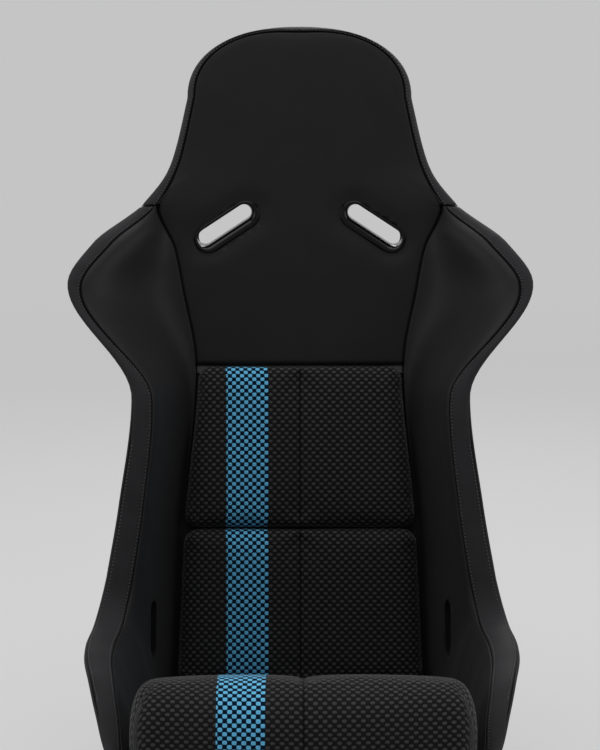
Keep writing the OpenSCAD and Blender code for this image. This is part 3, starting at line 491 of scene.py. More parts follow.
leather = {  # mm
    "creaseDepth": 2.4, "creaseWidth": 1.4,            # the valley of a seam
    "rollDepth": 0.7, "rollWidth": 6.0,                # the soft roll either side of it
    "narrowBand": 14, "narrowShare": 0.7,              # a narrow band is drawn down less
    "outerDepth": 0.7, "outerIn": 5, "outerRun": 60,   # the sewn line inside the edge, and how it runs out
    "outerClear": 40,                                  # and how far off it counts where it has run out
    "swell": 0.35, "swellSize": 55,                    # slow unevenness of leather over foam
    "bandSwell": 0.6,                                  # its share on the band
    "under": 0.85,                                     # share of the cover's thickness it is drawn with
    "rollIn": 6.0, "turnIn": 15,                       # the head panel turns in above the pads
    "slotDip": 3.6, "slotDipWidth": 10,                # the panel sinks in round the harness slots
}
slots = {  # the harness slots, in mm and degrees
    "at": 648, "spacing": 183, "length": 82, "height": 26, "tilt": 33, "wall": 2, "lip": 2.0}
slotS = back(slots["at"])
slotFace = spine(slotS) + depthDir(slotS) * f.headD


def turned(flat, degrees):
    a = math.radians(degrees)
    return (flat[:, 0] * math.cos(a) - flat[:, 1] * math.sin(a),
            flat[:, 0] * math.sin(a) + flat[:, 1] * math.cos(a))


def slotOutline(side, length, height, aside=0.0, up=0.0):  # side is 1 on the right and -1 on the left
    x, z = turned(obround(length, height) + np.array([side * aside, up]), -side * slots["tilt"])
    return side * slots["spacing"] / 2 + x, slotFace[1] + z


def slotDistance(x, z):  # mm from a point of the panel to the nearer bezel's edge
    u, v = turned(np.array([[abs(x) - slots["spacing"] / 2, z - slotFace[1]]]), slots["tilt"])
    r = slots["height"] / 2
    u = max(0, abs(u[0]) - (slots["length"] / 2 - r))
    return max(0, math.hypot(u, v[0]) - r - slots["lip"] - slots["wall"])


def joined(grids):  # grids side by side, each starting on the last column of the one before
    points, lengths = grids[0]
    for p, run in grids[1:]:
        points = np.concatenate([points, p[:, 1:]], axis=1)
        lengths = np.concatenate([lengths, lengths[:, -1:] + run[:, 1:]], axis=1)
    return points, lengths


skinGrids = [gridOf("floor", 12, end=True), gridOf("wall", 16, start=True, end=True),
             gridOf("band", 7, start=True), gridOf("wrap", 3)]
skin, at = joined(skinGrids)
widths = [points.shape[1] - 1 for points, _ in skinGrids]
wingCol, seamCol, edgeCol, lastCol = (sum(widths[:k]) for k in (1, 2, 3, 4))
lastRow = len(rows) - 1
edgeAt = at[:, edgeCol].copy()
skinNormal = gridNormals(skin)
seamGap = np.full(at.shape + (3,), noSeam)
move = np.zeros(at.shape)


def reliefAt(i, j):  # how far the leather moves out from its smooth form, and the seam distances there
    row, here = rows[i], at[i, j]
    edgeSeam = (clamp((row.s - lipS - leather["outerRun"]) / leather["outerRun"], 0, 1)
                * clamp((waistS - row.s) / leather["outerRun"], 0, 1))
    gaps = [abs(here - at[i, seamCol])]
    if padsRow <= i <= neckRow:
        gaps.append(abs(here - at[i, wingCol]))
    if j >= wingCol and row.turn == 0:
        gaps.append(abs(row.s - neckS))
    d = min(gaps)
    share = 1 if edgeAt[i] - at[i, seamCol] > leather["narrowBand"] else leather["narrowShare"]
    out = -share * (leather["creaseDepth"] * softDip(d, leather["creaseWidth"])
                    + leather["rollDepth"] * softDip(d, leather["rollWidth"]))
    outer = abs(here - (edgeAt[i] - leather["outerIn"]))
    if edgeSeam > 0:
        out -= leather["outerDepth"] * edgeSeam * softDip(outer, leather["creaseWidth"])
        d = min(d, outer / max(edgeSeam, 0.05))
    p = skin[i, j] / mm
    if j < edgeCol:
        swell = leather["swell"] * noise.noise(Vector(p) / leather["swellSize"])
        out += swell * (1 if j < seamCol else leather["bandSwell"])
    if j <= seamCol and padsRow < i:
        out -= leather["slotDip"] * softDip(slotDistance(p[0], p[2]), leather["slotDipWidth"])
    if j <= wingCol and padsRow <= i <= neckRow:  # turned in above the upper pad
        r = leather["rollIn"]
        out -= r - math.sqrt(max(0, r * r - max(0, r - (row.s - padsS)) ** 2))
    # the outer line runs out over the edge at both its ends
    return out, (d, here - at[i, seamCol], edgeAt[i] - here + leather["outerClear"] * (1 - edgeSeam))


for i in range(len(rows)):
    for j in range(lastCol + 1):
        move[i, j], seamGap[i, j] = reliefAt(i, j)
skin = skin + skinNormal * (move * mm)[:, :, None]
skinUnder = skin - gridNormals(skin) * f.coverT * leather["under"] * mm
print("leather skin:", skin.shape[0], "x", skin.shape[1])


def leatherPanel(name, rowSpan, colSpan, right, low=None):
    part = np.s_[rowSpan[0]:rowSpan[1] + 1, colSpan[0]:colSpan[1] + 1]
    top, low = skin[part], skinUnder[part] if low is None else low
    return slab(name, top if right else mirrored(top), low if right else mirrored(low), seamGap[part])


def withTurnedIn(grid, first):  # the pads' row once more in front, for the leather that turns in there
    return np.concatenate([first, grid[padsRow:]])[:, :seamCol + 1]


# the head panel comes down to the pads between the two wing seams, and turns in there
padsPart = np.s_[padsRow:padsRow + 1]
insideSide = gridOf("shellSide", 16, start=True, end=True, offset=f.shellT + 0.3)
inside = joined([gridOf("shellFloor", 12, end=True, offset=f.shellT), insideSide])[0]
headTop = withTurnedIn(skin, skin[padsPart] - skinNormal[padsPart] * leather["turnIn"] * mm)
headLow = withTurnedIn(inside, inside[padsPart])
headGaps = withTurnedIn(seamGap, seamGap[padsPart])
headPanel = slab("headPanel", bothHalves(headTop), bothHalves(headLow),
                 bothHalves(headGaps, flip=np.copy), openEnd=True,
                 keep=lambda i, j: i > neckRow - padsRow or seamCol - wingCol <= j < seamCol + wingCol)


def joinPieces(name, pieces):
    b = bmesh.new()
    for p in pieces:
        b.from_mesh(p.data)
    bmesh.ops.remove_doubles(b, verts=b.verts, dist=weldGap)
    # a wall between two joined forms is inside, so it goes
    inner = [face for face in b.faces if sum(len(e.link_faces) > 2 for e in face.edges) > 1]
    bmesh.ops.delete(b, geom=inner, context="FACES")
    bmesh.ops.recalc_face_normals(b, faces=b.faces)
    mesh = bpy.data.meshes.new(name)
    b.to_mesh(mesh)
    b.free()
    for p in pieces:
        bpy.data.objects.remove(p)
    return objectOf(name, mesh)


sides = {"Left": -1, "Right": 1}
bandHalves = [leatherPanel("headBandHalf", (neckRow, lastRow), (seamCol, lastCol), right)
              for right in (True, False)]
headBand = joinPieces("headBand", bandHalves)
innerCovers, sideBands = {}, {}
for name, side in sides.items():
    innerCovers[name] = leatherPanel("innerCover" + name, (0, neckRow), (wingCol, seamCol), side > 0,
                                     insideSide[0][:neckRow + 1])
    sideBands[name] = leatherPanel("sideBand" + name, (0, neckRow), (seamCol, lastCol), side > 0)
print("leather panels made")

shellOut, shellIn = (joined([gridOf("shellFloor", 6, offset=t), gridOf("shellSide", 34, offset=t)])[0]
                     for t in (0.0, f.shellT))
shellPiece = slab("shellMoulding", bothHalves(shellIn), bothHalves(shellOut), openEnd=True)
coverLow, coverTop = (gridOf("cover", 12, offset=t, last=neckRow + 1)[0] for t in (0.0, -f.outerT))
outerCovers = {
    "Left": slab("outerCoverLeft", mirrored(coverTop), mirrored(coverLow)),
    "Right": slab("outerCoverRight", coverTop, coverLow)}


def trimRing(row, section):  # rounded bead over the covers' cut edges
    line = np.array(section.trim)
    out = []
    for k, t in enumerate(np.linspace(0, 1, len(line))):
        side = leftOf(line[max(0, k - 1)], line[min(len(line) - 1, k + 1)])
        out.append(line[k] - side * f.trimT * (0.35 + 0.65 * math.sqrt(max(0, 1 - (2 * t - 1) ** 2))))
    return [place(row, u, e) for u, e in out + [line[-1], line[0]]]


def trimBead(right):
    rings = np.array([trimRing(r, s) for r, s in zip(rows, sections)]) * mm
    rings = rings if right else mirrored(rings)
    n, m = rings.shape[:2]
    return newPiece("edgeTrimHalf", rings.reshape(-1, 3), ringFaces(n, m) + [tuple(range(m))])


edgeTrim = joinPieces("edgeTrim", [trimBead(True), trimBead(False)])


def linerOf(name, r0, r1):
    top, low = [], []
    for row, section in list(zip(rows, sections))[r0:r1 + 1]:
        e = lining(row.s) * section.bound
        xs = np.concatenate([np.linspace(0, section.xi - 5, 9), section.xi - np.array([3, 1.4, 0.5, 0.3])])
        drop = [0] * 9 + [0.25, 0.9, 2.0, 4.0]  # its long edge is rounded
        top.append([place(row, x, e - d) for x, d in zip(xs, drop)])
        low.append([place(row, x, f.shellT * section.bound + 0.2) for x in xs])
    return slab(name, bothHalves(np.array(top) * mm), bothHalves(np.array(low) * mm))


panLiner = linerOf("panLiner", 0, heelRow)
backLiner = linerOf("backLiner", heelRow, padsRow - 1)
print("shell, covers, trim and liners made")

lapSlot = {"y": 100, "z": 168, "length": 70, "width": 26}  # mm
mounts = {"spacing": 288, "height": 66, "barrel": 13.2, "steps": 24}  # mm, and steps round each bore


def cutter(axis, ends, p, q):  # a prism along X (0) or Y (1), from an outline in the other two
    return prism("cutter", *(np.insert(np.stack([p, q], axis=1), axis, end, axis=1) * mm for end in ends))


cutters = {"harness": {}, "lap": {}, "mounts": []}
for name, side in reversed(sides.items()):
    x, z = slotOutline(side, slots["length"] + 2 * slots["wall"], slots["height"] + 2 * slots["wall"])
    cutters["harness"][name] = cutter(1, (slotFace[0] - 60, slotFace[0] + 110), x, z)
    y, z = turned(obround(lapSlot["length"], lapSlot["width"]), 90 - f.recline)
    cutters["lap"][name] = cutter(0, (side * 120, side * 280), lapSlot["y"] + y, lapSlot["z"] + z)
    for end in (-1, 1):
        ring = np.linspace(0, 2 * math.pi, mounts["steps"] + 1)[:-1]
        cutters["mounts"].append(cutter(0, (side * (f.sideW / 2 - 12), side * (f.sideW / 2 + 12)),
                                        end * mounts["spacing"] / 2 + mounts["barrel"] / 2 * np.cos(ring),
                                        mounts["height"] + mounts["barrel"] / 2 * np.sin(ring)))
harnessCuts, lapCuts = list(cutters["harness"].values()), list(cutters["lap"].values())
cutThrough(shellPiece, harnessCuts + lapCuts + cutters["mounts"])
cutThrough(headPanel, harnessCuts)
for name in sides:
    cutThrough(innerCovers[name], [cutters["lap"][name]])
    cutThrough(outerCovers[name], [cutters["lap"][name]])
for c in harnessCuts + lapCuts + cutters["mounts"]:
    bpy.data.objects.remove(c)
print("slots cut")

bezelForm = {  # mm: out of the slot's wall and proud of the panel, then share closed in and proud
    "lip": [(2.0, -4.4), (2.0, -2.4), (1.8, -1.7), (1.2, -1.2), (0.5, -1.1)],
    "throat": [(0.1, -1.4), (0.35, -2.2), (0.6, -3.6), (0.8, -6), (0.95, -10), (1, -16), (1, -24)],
    "narrow": 3.2, "narrowLength": 2.2,  # how much the throat closes in, all of it from below and inside
    "foot": 0.5,  # stands off the shell
}


def bezelOf(name, side):
    # a rounded lip in the leather, and a throat that narrows on its way back to the shell
    b, wall, foot = bezelForm, slots["wall"], bezelForm["foot"] - f.headD
    rings = [(slots["length"] + 2 * (wall + out), slots["height"] + 2 * (wall + out), 0, 0, proud)
             for out, proud in b["lip"]]
    for share, proud in b["throat"] + [(1, foot)]:
        near, tall = share * b["narrowLength"], share * b["narrow"]
        rings.append((slots["length"] - 2 * near, slots["height"] - 2 * tall, near, tall, proud))
    rings += [(slots["length"] + 2 * wall, slots["height"] + 2 * wall, 0, 0, proud)
              for proud in (foot, b["lip"][0][1])]
    verts = []
    for length, height, aside, up, proud in rings:
        x, z = slotOutline(side, length, height, aside, up)
        y = slotFace[0] + (z - slotFace[1]) * math.tan(math.radians(f.recline)) - proud / upCos
        verts.append(np.stack([x, y, z], axis=1))
    piece = newPiece("harnessBezel" + name, np.concatenate(verts) * mm,
                     ringFaces(len(verts), len(verts[0]), closed=True))
    tidyMesh(piece, fineGap)
    return piece


bezels = {name: bezelOf(name, side) for name, side in reversed(sides.items())}

stitching = {  # mm
    "pitch": 4.2, "length": 2.7, "thread": 0.5, "fromSeam": 3.6, "fromEdge": 8.2,
    # each ring of a stitch: share of the half length, of the thread's radius, and its lift
    "rings": [(-1, 0.35, -0.6), (-0.72, 0.95, 0.1), (0, 1.05, 0.45), (0.72, 0.95, 0.1), (1, 0.35, -0.6)],
    "ringSides": 6,
    "mostIn": 0.4,  # share of the band's width, where the band is narrow
    "outerFrom": 108, "outerTo": 48,  # the line inside the edge: from behind the lip to below the waist
}


def stitchLine(verts, faces, points, normals):
    # short sewn stitches along a line, each end pulled into the leather
    n, rings = stitching["ringSides"], stitching["rings"]
    run = runAlong(points)
    half, r = stitching["length"] / 2 * mm, stitching["thread"] * mm
    for s in np.arange(half * 1.5, run[-1] - half * 1.5, stitching["pitch"] * mm):
        start, middle, end = (pointsAt(s + d, run, points) for d in (-half, 0, half))
        up = unit(pointsAt(s, run, normals))
        ahead = unit(end - start)
        aside = np.cross(ahead, up)
        first = len(verts)
        for d, wide, lift in rings:
            for a in np.arange(n) * 2 * math.pi / n:
                verts.append(middle + ahead * half * d + up * r * lift
                             + (aside * math.cos(a) + up * math.sin(a)) * r * wide)
        faces += ringFaces(len(rings), n, first=first)
        faces.append(tuple(first + k for k in range(n - 1, -1, -1)))
        faces.append(tuple(first + n * (len(rings) - 1) + k for k in range(n)))


def lineAt(offset, r0, r1, fromEdge=False):
    # points and normals along the band, a fixed distance from its seam or its edge
    normals = gridNormals(skin)
    points, ups = [], []
    for i in range(r0, r1 + 1):
        seamAt = at[i, seamCol]
        fromSeam = seamAt + min(offset, stitching["mostIn"] * (edgeAt[i] - seamAt))
        want = edgeAt[i] - offset if fromEdge else fromSeam
        points.append(pointsAt(want, at[i], skin[i]))
        ups.append(pointsAt(want, at[i], normals[i]))
    return np.array(points), np.array(ups)


outerRows = [i for i, r in enumerate(rows)
             if lipS + stitching["outerFrom"] < r.s < waistS - stitching["outerTo"]]
verts, faces = [], []
for offset, r0, r1, fromEdge in ((stitching["fromSeam"], 0, neckRow - 2, False),
                                 (stitching["fromSeam"], neckRow + 2, lastRow, False),
                                 (stitching["fromEdge"], outerRows[0], outerRows[-1], True)):
    points, ups = lineAt(offset, r0, r1, fromEdge)
    stitchLine(verts, faces, points, ups)
    stitchLine(verts, faces, mirrored(points), mirrored(ups))
topstitch = newPiece("topstitching", verts, faces)
print("stitches:", len(verts) // (stitching["ringSides"] * len(stitching["rings"])))

padForm = {  # mm
    "thick": 20, "back": 22.2,  # how deep its back lies over the shell
    "crown": 2.75, "groove": 3.2, "grooveWidth": 2.2, "ease": 0.5, "easeWidth": 9, "corner": 15,
    # its rings from foot to top: how far in each one lies at the sides, front and rear, and how high up
    **dict.fromkeys(("side", "frontIn", "rearIn"), [3, 1.5, 0.2, 0, 1.3, 4.2, 9.5]),
    "levels": [0, 0.12, 0.3, 0.52, 0.8, 0.95, 1.0],
    "foot": [(3.2, 0.0), (4.6, 1.2)],  # the cloth turned in underneath: further in, and up
    "columns": 22, "rows": 15,
}
cushionForm = {  # mm, as above
    "span": (-278, 140), "crest": 200, "mid": 96, "rearDrop": 22, "baseIn": 1.8, "baseT": 1.5,
    "crown": 2.0, "groove": 2.4, "grooveWidth": 3, "ease": 0.6, "easeWidth": 12, "corner": 26,
    "side": [6, 3, 0.6, 0, 1.0, 5, 12, 22], "frontIn": [13, 9, 2, 0, 1.6, 7, 16, 30],
    "rearIn": [5, 3, 0.5, 0, 0.8, 4, 9, 15], "levels": [0, 0.1, 0.25, 0.45, 0.68, 0.86, 0.965, 1.0],
    "foot": [(0.9, 0.0), (2.3, 0.8)],
    "columns": 26, "rows": 30,
    "settled": 3.4, "droop": 1.5,  # a used cushion sits lower, most at its sides
    "clear": 2.2,  # stands off the pan's liner
}
softGrid = {
    "edgeStep": 0.006, "topStep": 0.02, "besideSewn": (0.012, 0.03, 0.055),  # shares of the half size
    "sewn": 1.0,  # mm either side of the sewn line
}


def padHalf(s):
    return floorW(clamp(s, back(f.padsFoot), padsS)) - f.padGap


def panTop(y):
    y = max(y, spine(lipS)[0])
    if y < -f.panFront:
        s = -f.panFront - f.rampR * math.asin((-f.panFront - y) / f.rampR)
        return spine(s)[1] + lining(s) * slant(s)
    if y < arcS:
        return f.linerD
    return f.heelR - math.sqrt((f.heelR - f.linerD) ** 2 - (y - arcS) ** 2)


def cushionLow(y):
    return panTop(y) + cushionForm["clear"]


def cushionHigh(y):
    mid, crest, (front, rear) = cushionForm["mid"], cushionForm["crest"], cushionForm["span"]
    return curve([(front, crest - 9), (front + 40, crest), (front + 98, crest - 13),
                  (-f.panFront, mix(mid, crest, 0.33)), (0, mid), (rear, mid - cushionForm["rearDrop"])], y)


def cushionHalf(y):
    front, rear = cushionForm["span"]
    a, b = f.cushionW, f.cushionRearW
    return curve([(front, a / 2 - 2), (-195, a / 2), (-f.panFront, mix(a, b, 0.28) / 2),
                  (0, mix(a, b, 0.58) / 2), (rear, b / 2)], y)


def roundCorner(x, y, w, h, r):
    r = min(r, w * 0.5, h * 0.5)
    dx, dy = (abs(x) - (w - r)) / r, (abs(y) - (h - r)) / r
    if dx > 0 and dy > 0:
        dx, dy = min(dx, 1), min(dy, 1)
        dx, dy = dx * math.sqrt(1 - dy * dy / 2), dy * math.sqrt(1 - dx * dx / 2)
        x, y = math.copysign(w - r + dx * r, x), math.copysign(h - r + dy * r, y)
    return x, y


def halfSizes(form, halfAt, b, ring=0, inset=0.0):
    # half length and half width of one ring, or further in, with b from -1 to 1 along the form
    front, rear = form["span"]
    half = (rear - front) / 2 - form["frontIn" if b < 0 else "rearIn"][ring] - inset
    return half, halfAt((front + rear) / 2 + b * half) - form["side"][ring] - inset


def outlineAt(form, halfAt, a, b, ring=0, inset=0.0):  # a point of that ring, with a across the form
    half, w = halfSizes(form, halfAt, b, ring, inset)
    x, y = roundCorner(a * w, b * half, w, half, form["corner"])
    return clamp(x, -w, w), sum(form["span"]) / 2 + y


def crownOf(form, x, a, b):  # the top rises to its middle, and its sewn line draws it down
    drawn = form["groove"] * softDip(x, form["grooveWidth"]) + form["ease"] * softDip(x, form["easeWidth"])
    return form["crown"] * max(0, 1 - a * a) * max(0, 1 - b ** 4) - drawn


def softForm(name, form, halfAt, heightAt, toWorld):
    # rings from the drawn-in foot over the bulge to the top, then a fine grid over the top
    rings = len(form["levels"]) - 1
    middle = sum(form["span"]) / 2

    def steps(count, extra=()):
        edge = [1 - softGrid["edgeStep"] * k for k in range(rings)]
        one = edge + sorted({*np.linspace(edge[-1] - softGrid["topStep"], 0, count), *extra}, reverse=True)
        return [-x for x in one] + one[-2::-1]

    across, along = steps(form["columns"], softGrid["besideSewn"]), steps(form["rows"])
    n, m = len(along), len(across)
    ringOf = [[min(i, n - 1 - i, j, m - 1 - j) for j in range(m)] for i in range(n)]
    grid = np.zeros((n, m, 3))
    for i in range(n):
        for j in range(m):
            r = min(ringOf[i][j], rings)
            a, b = across[j] / abs(across[r]), along[i] / abs(along[r])
            x, y = outlineAt(form, halfAt, a, b, r)
            grid[i, j] = toWorld(x, y, heightAt(x, y, a, b, form["levels"][r]))
    # lengths over the cloth, for the weave
    du, dv = (np.linalg.norm(np.diff(grid, axis=k), axis=2) for k in (1, 0))
    u = np.concatenate([np.zeros((n, 1)), np.cumsum(du, axis=1)], axis=1)
    v = np.concatenate([np.zeros((1, m)), np.cumsum(dv, axis=0)], axis=0)
    u -= u[:, m // 2:m // 2 + 1]
    v -= v[n // 2:n // 2 + 1, :]
    verts = list(grid.reshape(-1, 3))
    weave = [(p, q, 0) for p, q in zip(u.reshape(-1), v.reshape(-1))]
    faces = [(i * m + j, i * m + j + 1, (i + 1) * m + j + 1, (i + 1) * m + j)
             for i in range(n - 1) for j in range(m - 1)]
    loop = ([(0, j) for j in range(m - 1)] + [(i, m - 1) for i in range(n - 1)]
            + [(n - 1, j) for j in range(m - 1, 0, -1)] + [(i, 0) for i in range(n - 1, 0, -1)])
    rim = [i * m + j for i, j in loop]
    for inset, up in form["foot"]:
        ring = []
        for i, j in loop:
            a, b = across[j], along[i]
            x, y = outlineAt(form, halfAt, a, b, 0, inset)
            ring.append(len(verts))
            verts.append(np.array(toWorld(x, y, heightAt(x, y, a, b, 0) + up)))
            weave.append((u[i, j], v[i, j], 0))
        faces += zip(rim, ring, ring[1:] + ring[:1], rim[1:] + rim[:1])
        rim = ring
    # flat underside, inside the last ring
    inner = dict(zip(loop, rim))
    for i in range(1, n - 1):
        for j in range(1, m - 1):
            half, w = halfSizes(form, halfAt, along[i], 0, inset)
            x, y = across[j] * w, along[i] * half
            inner[(i, j)] = len(verts)
            verts.append(np.array(toWorld(x, middle + y, heightAt(x, middle + y, 0, 0, 0) + up)))
            weave.append((x, y, 0))
    faces += [(inner[(i, j)], inner[(i + 1, j)], inner[(i + 1, j + 1)], inner[(i, j + 1)])
              for i in range(n - 1) for j in range(m - 1)]
    piece = newPiece(name, np.array(verts) * mm, faces)
    setAttribute(piece, "weave", weave)
    # the two outer rings, the sewn line and the underside hold still when the cover swells
    held = [k for k, r in enumerate(sum(ringOf, []))
            if r < 2 or (r >= rings and abs(verts[k][0]) < softGrid["sewn"])]
    return piece, held + list(range(n * m, len(verts)))


def padHeight(x, s, a, b, level):
    return padForm["back"] + level * padForm["thick"] + (crownOf(padForm, x, a, b) if level == 1 else 0)


def padPlace(x, s, e):
    c = spine(s) + depthDir(topS) * e
    return [x, c[0], c[1]]


def backPad(name, *span):
    return softForm(name, dict(padForm, span=span), padHalf, padHeight, padPlace)


def cushionHeight(x, y, a, b, level):
    high = cushionHigh(y) + (crownOf(cushionForm, x, a, b) if level == 1 else 0)
    return mix(cushionLow(y), high - cushionForm["settled"] - cushionForm["droop"] * a ** 8, level)


upperPad, upperHeld = backPad("upperPad", back(f.padsSplit) + 0.8, padsS - 2)
lowerPad, lowerHeld = backPad("lowerPad", back(f.padsFoot), back(f.padsSplit) - 0.8)
seatCushion, cushionHeld = softForm("seatCushion", cushionForm, cushionHalf, cushionHeight,
                                    lambda x, y, e: [x, y, e])

puffing = {
    "frames": 16, "most": 3.0,  # mm
    "cloth": {
        "quality": 6, "mass": 0.25, "tension_stiffness": 12, "compression_stiffness": 12,
        "shear_stiffness": 5, "bending_stiffness": 0.35, "use_pressure": True, "uniform_pressure_force": 4.0,
        "vertex_group_mass": "sewn", "pin_stiffness": 1.0},
}


def puffUp(covers):  # air pressure swells the covers against their sewn lines
    scene = bpy.context.scene
    for piece, held in covers:
        piece.vertex_groups.new(name="sewn").add(held, 1.0, "REPLACE")
        cloth = piece.modifiers.new("puff", "CLOTH")
        for key, value in puffing["cloth"].items():
            setattr(cloth.settings, key, value)
        cloth.settings.effector_weights.gravity = 0
        cloth.collision_settings.use_collision = False
        cloth.point_cache.frame_start, cloth.point_cache.frame_end = 1, puffing["frames"]
    for k in range(1, puffing["frames"] + 1):
        scene.frame_set(k)
    graph = bpy.context.evaluated_depsgraph_get()
    for piece, _ in covers:
        rest, moved = np.zeros((2, len(piece.data.vertices) * 3))
        piece.data.vertices.foreach_get("co", rest)
        piece.evaluated_get(graph).data.vertices.foreach_get("co", moved)
        step = (moved - rest).reshape(-1, 3)
        far = np.linalg.norm(step, axis=1)
        most = puffing["most"] * mm
        step *= (most * np.tanh(far / most) / np.maximum(far, 1e-9))[:, None]
        piece.modifiers.clear()
        piece.vertex_groups.clear()
        piece.data.vertices.foreach_set("co", (rest + step.reshape(-1)).astype(np.float32))
        piece.data.update()
        print(piece.name, "swelled by up to %.1f mm" % (np.linalg.norm(step, axis=1).max() / mm))
    scene.frame_set(1)


puffUp([(upperPad, upperHeld), (lowerPad, lowerHeld), (seatCushion, cushionHeld)])
for piece in (upperPad, lowerPad, seatCushion):
    tidyMesh(piece, fineGap)
    smooth = piece.modifiers.new("smooth", "SUBSURF")
    smooth.levels = smooth.render_levels = 1
    bakeModifiers(piece)

baseTop = np.array([[outlineAt(cushionForm, cushionHalf, a, b, 0, cushionForm["baseIn"]) + (0,)
                     for a in np.linspace(-1, 1, 31)] for b in np.linspace(-1, 1, 45)])
baseTop[:, :, 2] = np.vectorize(cushionLow)(baseTop[:, :, 1])
baseLow = baseTop.copy()
baseTop[:, :, 2] += cushionForm["baseT"]
cushionBase = slab("cushionBase", baseTop * mm, baseLow * mm)
print("pads and cushion made")


def tone(hexText):  # sRGB hex to linear
    parts = [int(hexText.lstrip("#")[k:k + 2], 16) / 255 for k in (0, 2, 4)]
    return tuple(c / 12.92 if c <= 0.04045 else ((c + 0.055) / 1.055) ** 2.4 for c in parts) + (1.0,)


def setInputs(node, inputs):
    # inputs by name or in order: plain values, sockets, or whole nodes, which give their first open output
    for key, value in inputs.items() if isinstance(inputs, dict) else enumerate(inputs):
        if isinstance(value, bpy.types.Node):
            value = next(out for out in value.outputs if out.enabled)
        if isinstance(value, bpy.types.NodeSocket):
            node.id_data.links.new(value, node.inputs[key])
        else:
            node.inputs[key].default_value = value


def addNode(tree, kind, inputs=(), **settings):
    made = tree.nodes.new("ShaderNode" + kind)
    for key, value in settings.items():
        setattr(made, key, value)
    setInputs(made, inputs)
    return made


# node settings that come back often
inColour, inNumbers = {"data_type": "RGBA"}, {"data_type": "FLOAT"}
eased = {"interpolation_type": "SMOOTHSTEP"}
plus, minus, times, divided, timesPlus = (
    {"operation": name} for name in ("ADD", "SUBTRACT", "MULTIPLY", "DIVIDE", "MULTIPLY_ADD"))


def newMaterial(name, **shader):
    material = bpy.data.materials.new(name)
    material.use_nodes = True
    surface = material.node_tree.nodes["Principled BSDF"]
    setInputs(surface, {key.replace("_", " "): value for key, value in shader.items()})
    node = partial(addNode, material.node_tree)
    return material, surface, node, node("TexCoord").outputs["Object"]


leatherLook = {
    "plain": {"low": "#0e0e0f", "high": "#161617", "rough": 0.5, "gloss": 0.12},
    # the band's colours are the plain leather's painted lighter, a painted highlight for the light its
    # rounded edge catches
    "band": {"low": "#1f1f20", "high": "#28282a", "rough": 0.64, "gloss": 0.05},
    # the crease colour is painted shade, near black down the seam valleys
    "crease": "#020202", "pebble": 1.3, "cloud": 41.7, "folds": 14.0,  # mm
    "hair": 0.435,  # mm, real pores are finer, and are drawn coarser so that they show
    "creaseFrom": 0.6, "creaseTo": 1.8,  # mm from the seam, from the painted shade of its valley to plain leather
    "needleFrom": 0.45, "needleTo": 1.0, "needleShade": 0.25,  # mm from the sewn line, and the share of colour left in its painted shade
    "puckerFrom": 1.0, "puckerTo": 7.0,  # mm from the seam, over which its puckers fade
}


def nappa(name, low, high, rough, gloss):
    # nappa leather, drum-dyed and embossed: a soft black with a fine pebble, duller in the creases, with
    # painted shade in its seam valleys and along its needle lines
    look = leatherLook
    material, surface, node, where = newMaterial(name, Specular_IOR_Level=gloss, Sheen_Weight=0.02,
                                                 Sheen_Roughness=0.6)
    pebble = node("TexVoronoi", {"Vector": where, "Scale": 1000 / look["pebble"]}, feature="SMOOTH_F1")
    hair = node("TexNoise", {"Vector": where, "Scale": 1000 / look["hair"], "Detail": 2.0})
    cloud = node("TexNoise", {"Vector": where, "Scale": 1000 / look["cloud"], "Detail": 4.0,
                              "Roughness": 0.6})
    folds = node("TexNoise", {"Vector": where, "Scale": 1000 / look["folds"], "Detail": 3.0,
                              "Distortion": 0.6})
    fromSeam, fromSewn, fromOuter = node(
        "SeparateXYZ", [node("Attribute", attribute_name="seamGap").outputs["Vector"]]).outputs
    unshaded = node("MapRange", {"Value": fromSeam, "From Min": look["creaseFrom"],
                              "From Max": look["creaseTo"]}, **eased)
    # needle line: painted shade under the thread, where it draws the leather down
    for away, sewnAt in ((fromSewn, stitching["fromSeam"]), (fromOuter, stitching["fromEdge"])):
        off = node("Math", [node("Math", [away, sewnAt], **minus)], operation="ABSOLUTE")
        clear = node("MapRange", {"Value": off, "From Min": look["needleFrom"], "From Max": look["needleTo"],
                                  "To Min": look["needleShade"]}, **eased)
        unshaded = node("Math", [unshaded, clear], **times)
    pucker = node("MapRange", {"Value": fromSeam, "From Min": look["puckerFrom"],
                               "From Max": look["puckerTo"], "To Min": 1.0, "To Max": 0.12}, **eased)
    worn = node("Math", [cloud, 1.25], use_clamp=True, **times)
    body = node("Mix", {0: worn, 6: tone(low), 7: tone(high)}, **inColour)
    # painted shade: the body colour goes near black in the seam valleys and along the needle lines
    baseColour = node("Mix", {0: unshaded, 6: tone(look["crease"]), 7: body}, **inColour)
    smooth = node("MapRange", {"Value": cloud, "To Min": rough + 0.07, "To Max": rough - 0.05})
    dull = node("Mix", {0: unshaded, 2: 1.0, 3: smooth}, **inNumbers)
    grain = node("Math", [hair, 0.35, pebble], **timesPlus)
    fine = node("Bump", {"Height": grain, "Strength": 0.35, "Distance": 0.16 * mm})
    creased = node("Math", [folds, pucker], **times)
    bump = node("Bump", {"Height": creased, "Strength": 0.5, "Distance": 1.2 * mm, "Normal": fine})
    setInputs(surface, {"Base Color": baseColour, "Roughness": dull, "Normal": bump})
    return material


clothLook = {
    "checkWide": 5.06, "checkHigh": 4.85, "yarns": 5,  # mm, and how many yarns lie side by side in a check
    # floats: half width and half height in checks, exponent and softness, then ground and yarn
    "plain": ((0.55, 0.36, 2.0, 0.5), "#19191a", "#424243"),
    "stripe": ((0.51, 0.47, 4.0, 0.35), "#01172b", "#6abde8"),
    "stripeFrom": -93.0, "stripeTo": -41.0,  # mm from the pad's middle
    "sewnFrom": 0.5, "sewnTo": 2.0, "sewnShade": 0.3,  # mm from the sewn line down the middle, and the share of colour left in the painted shade of its groove
    "drift": 11.1, "fuzz": 0.588,  # mm, the checks' slow wander and the wool's nap
}


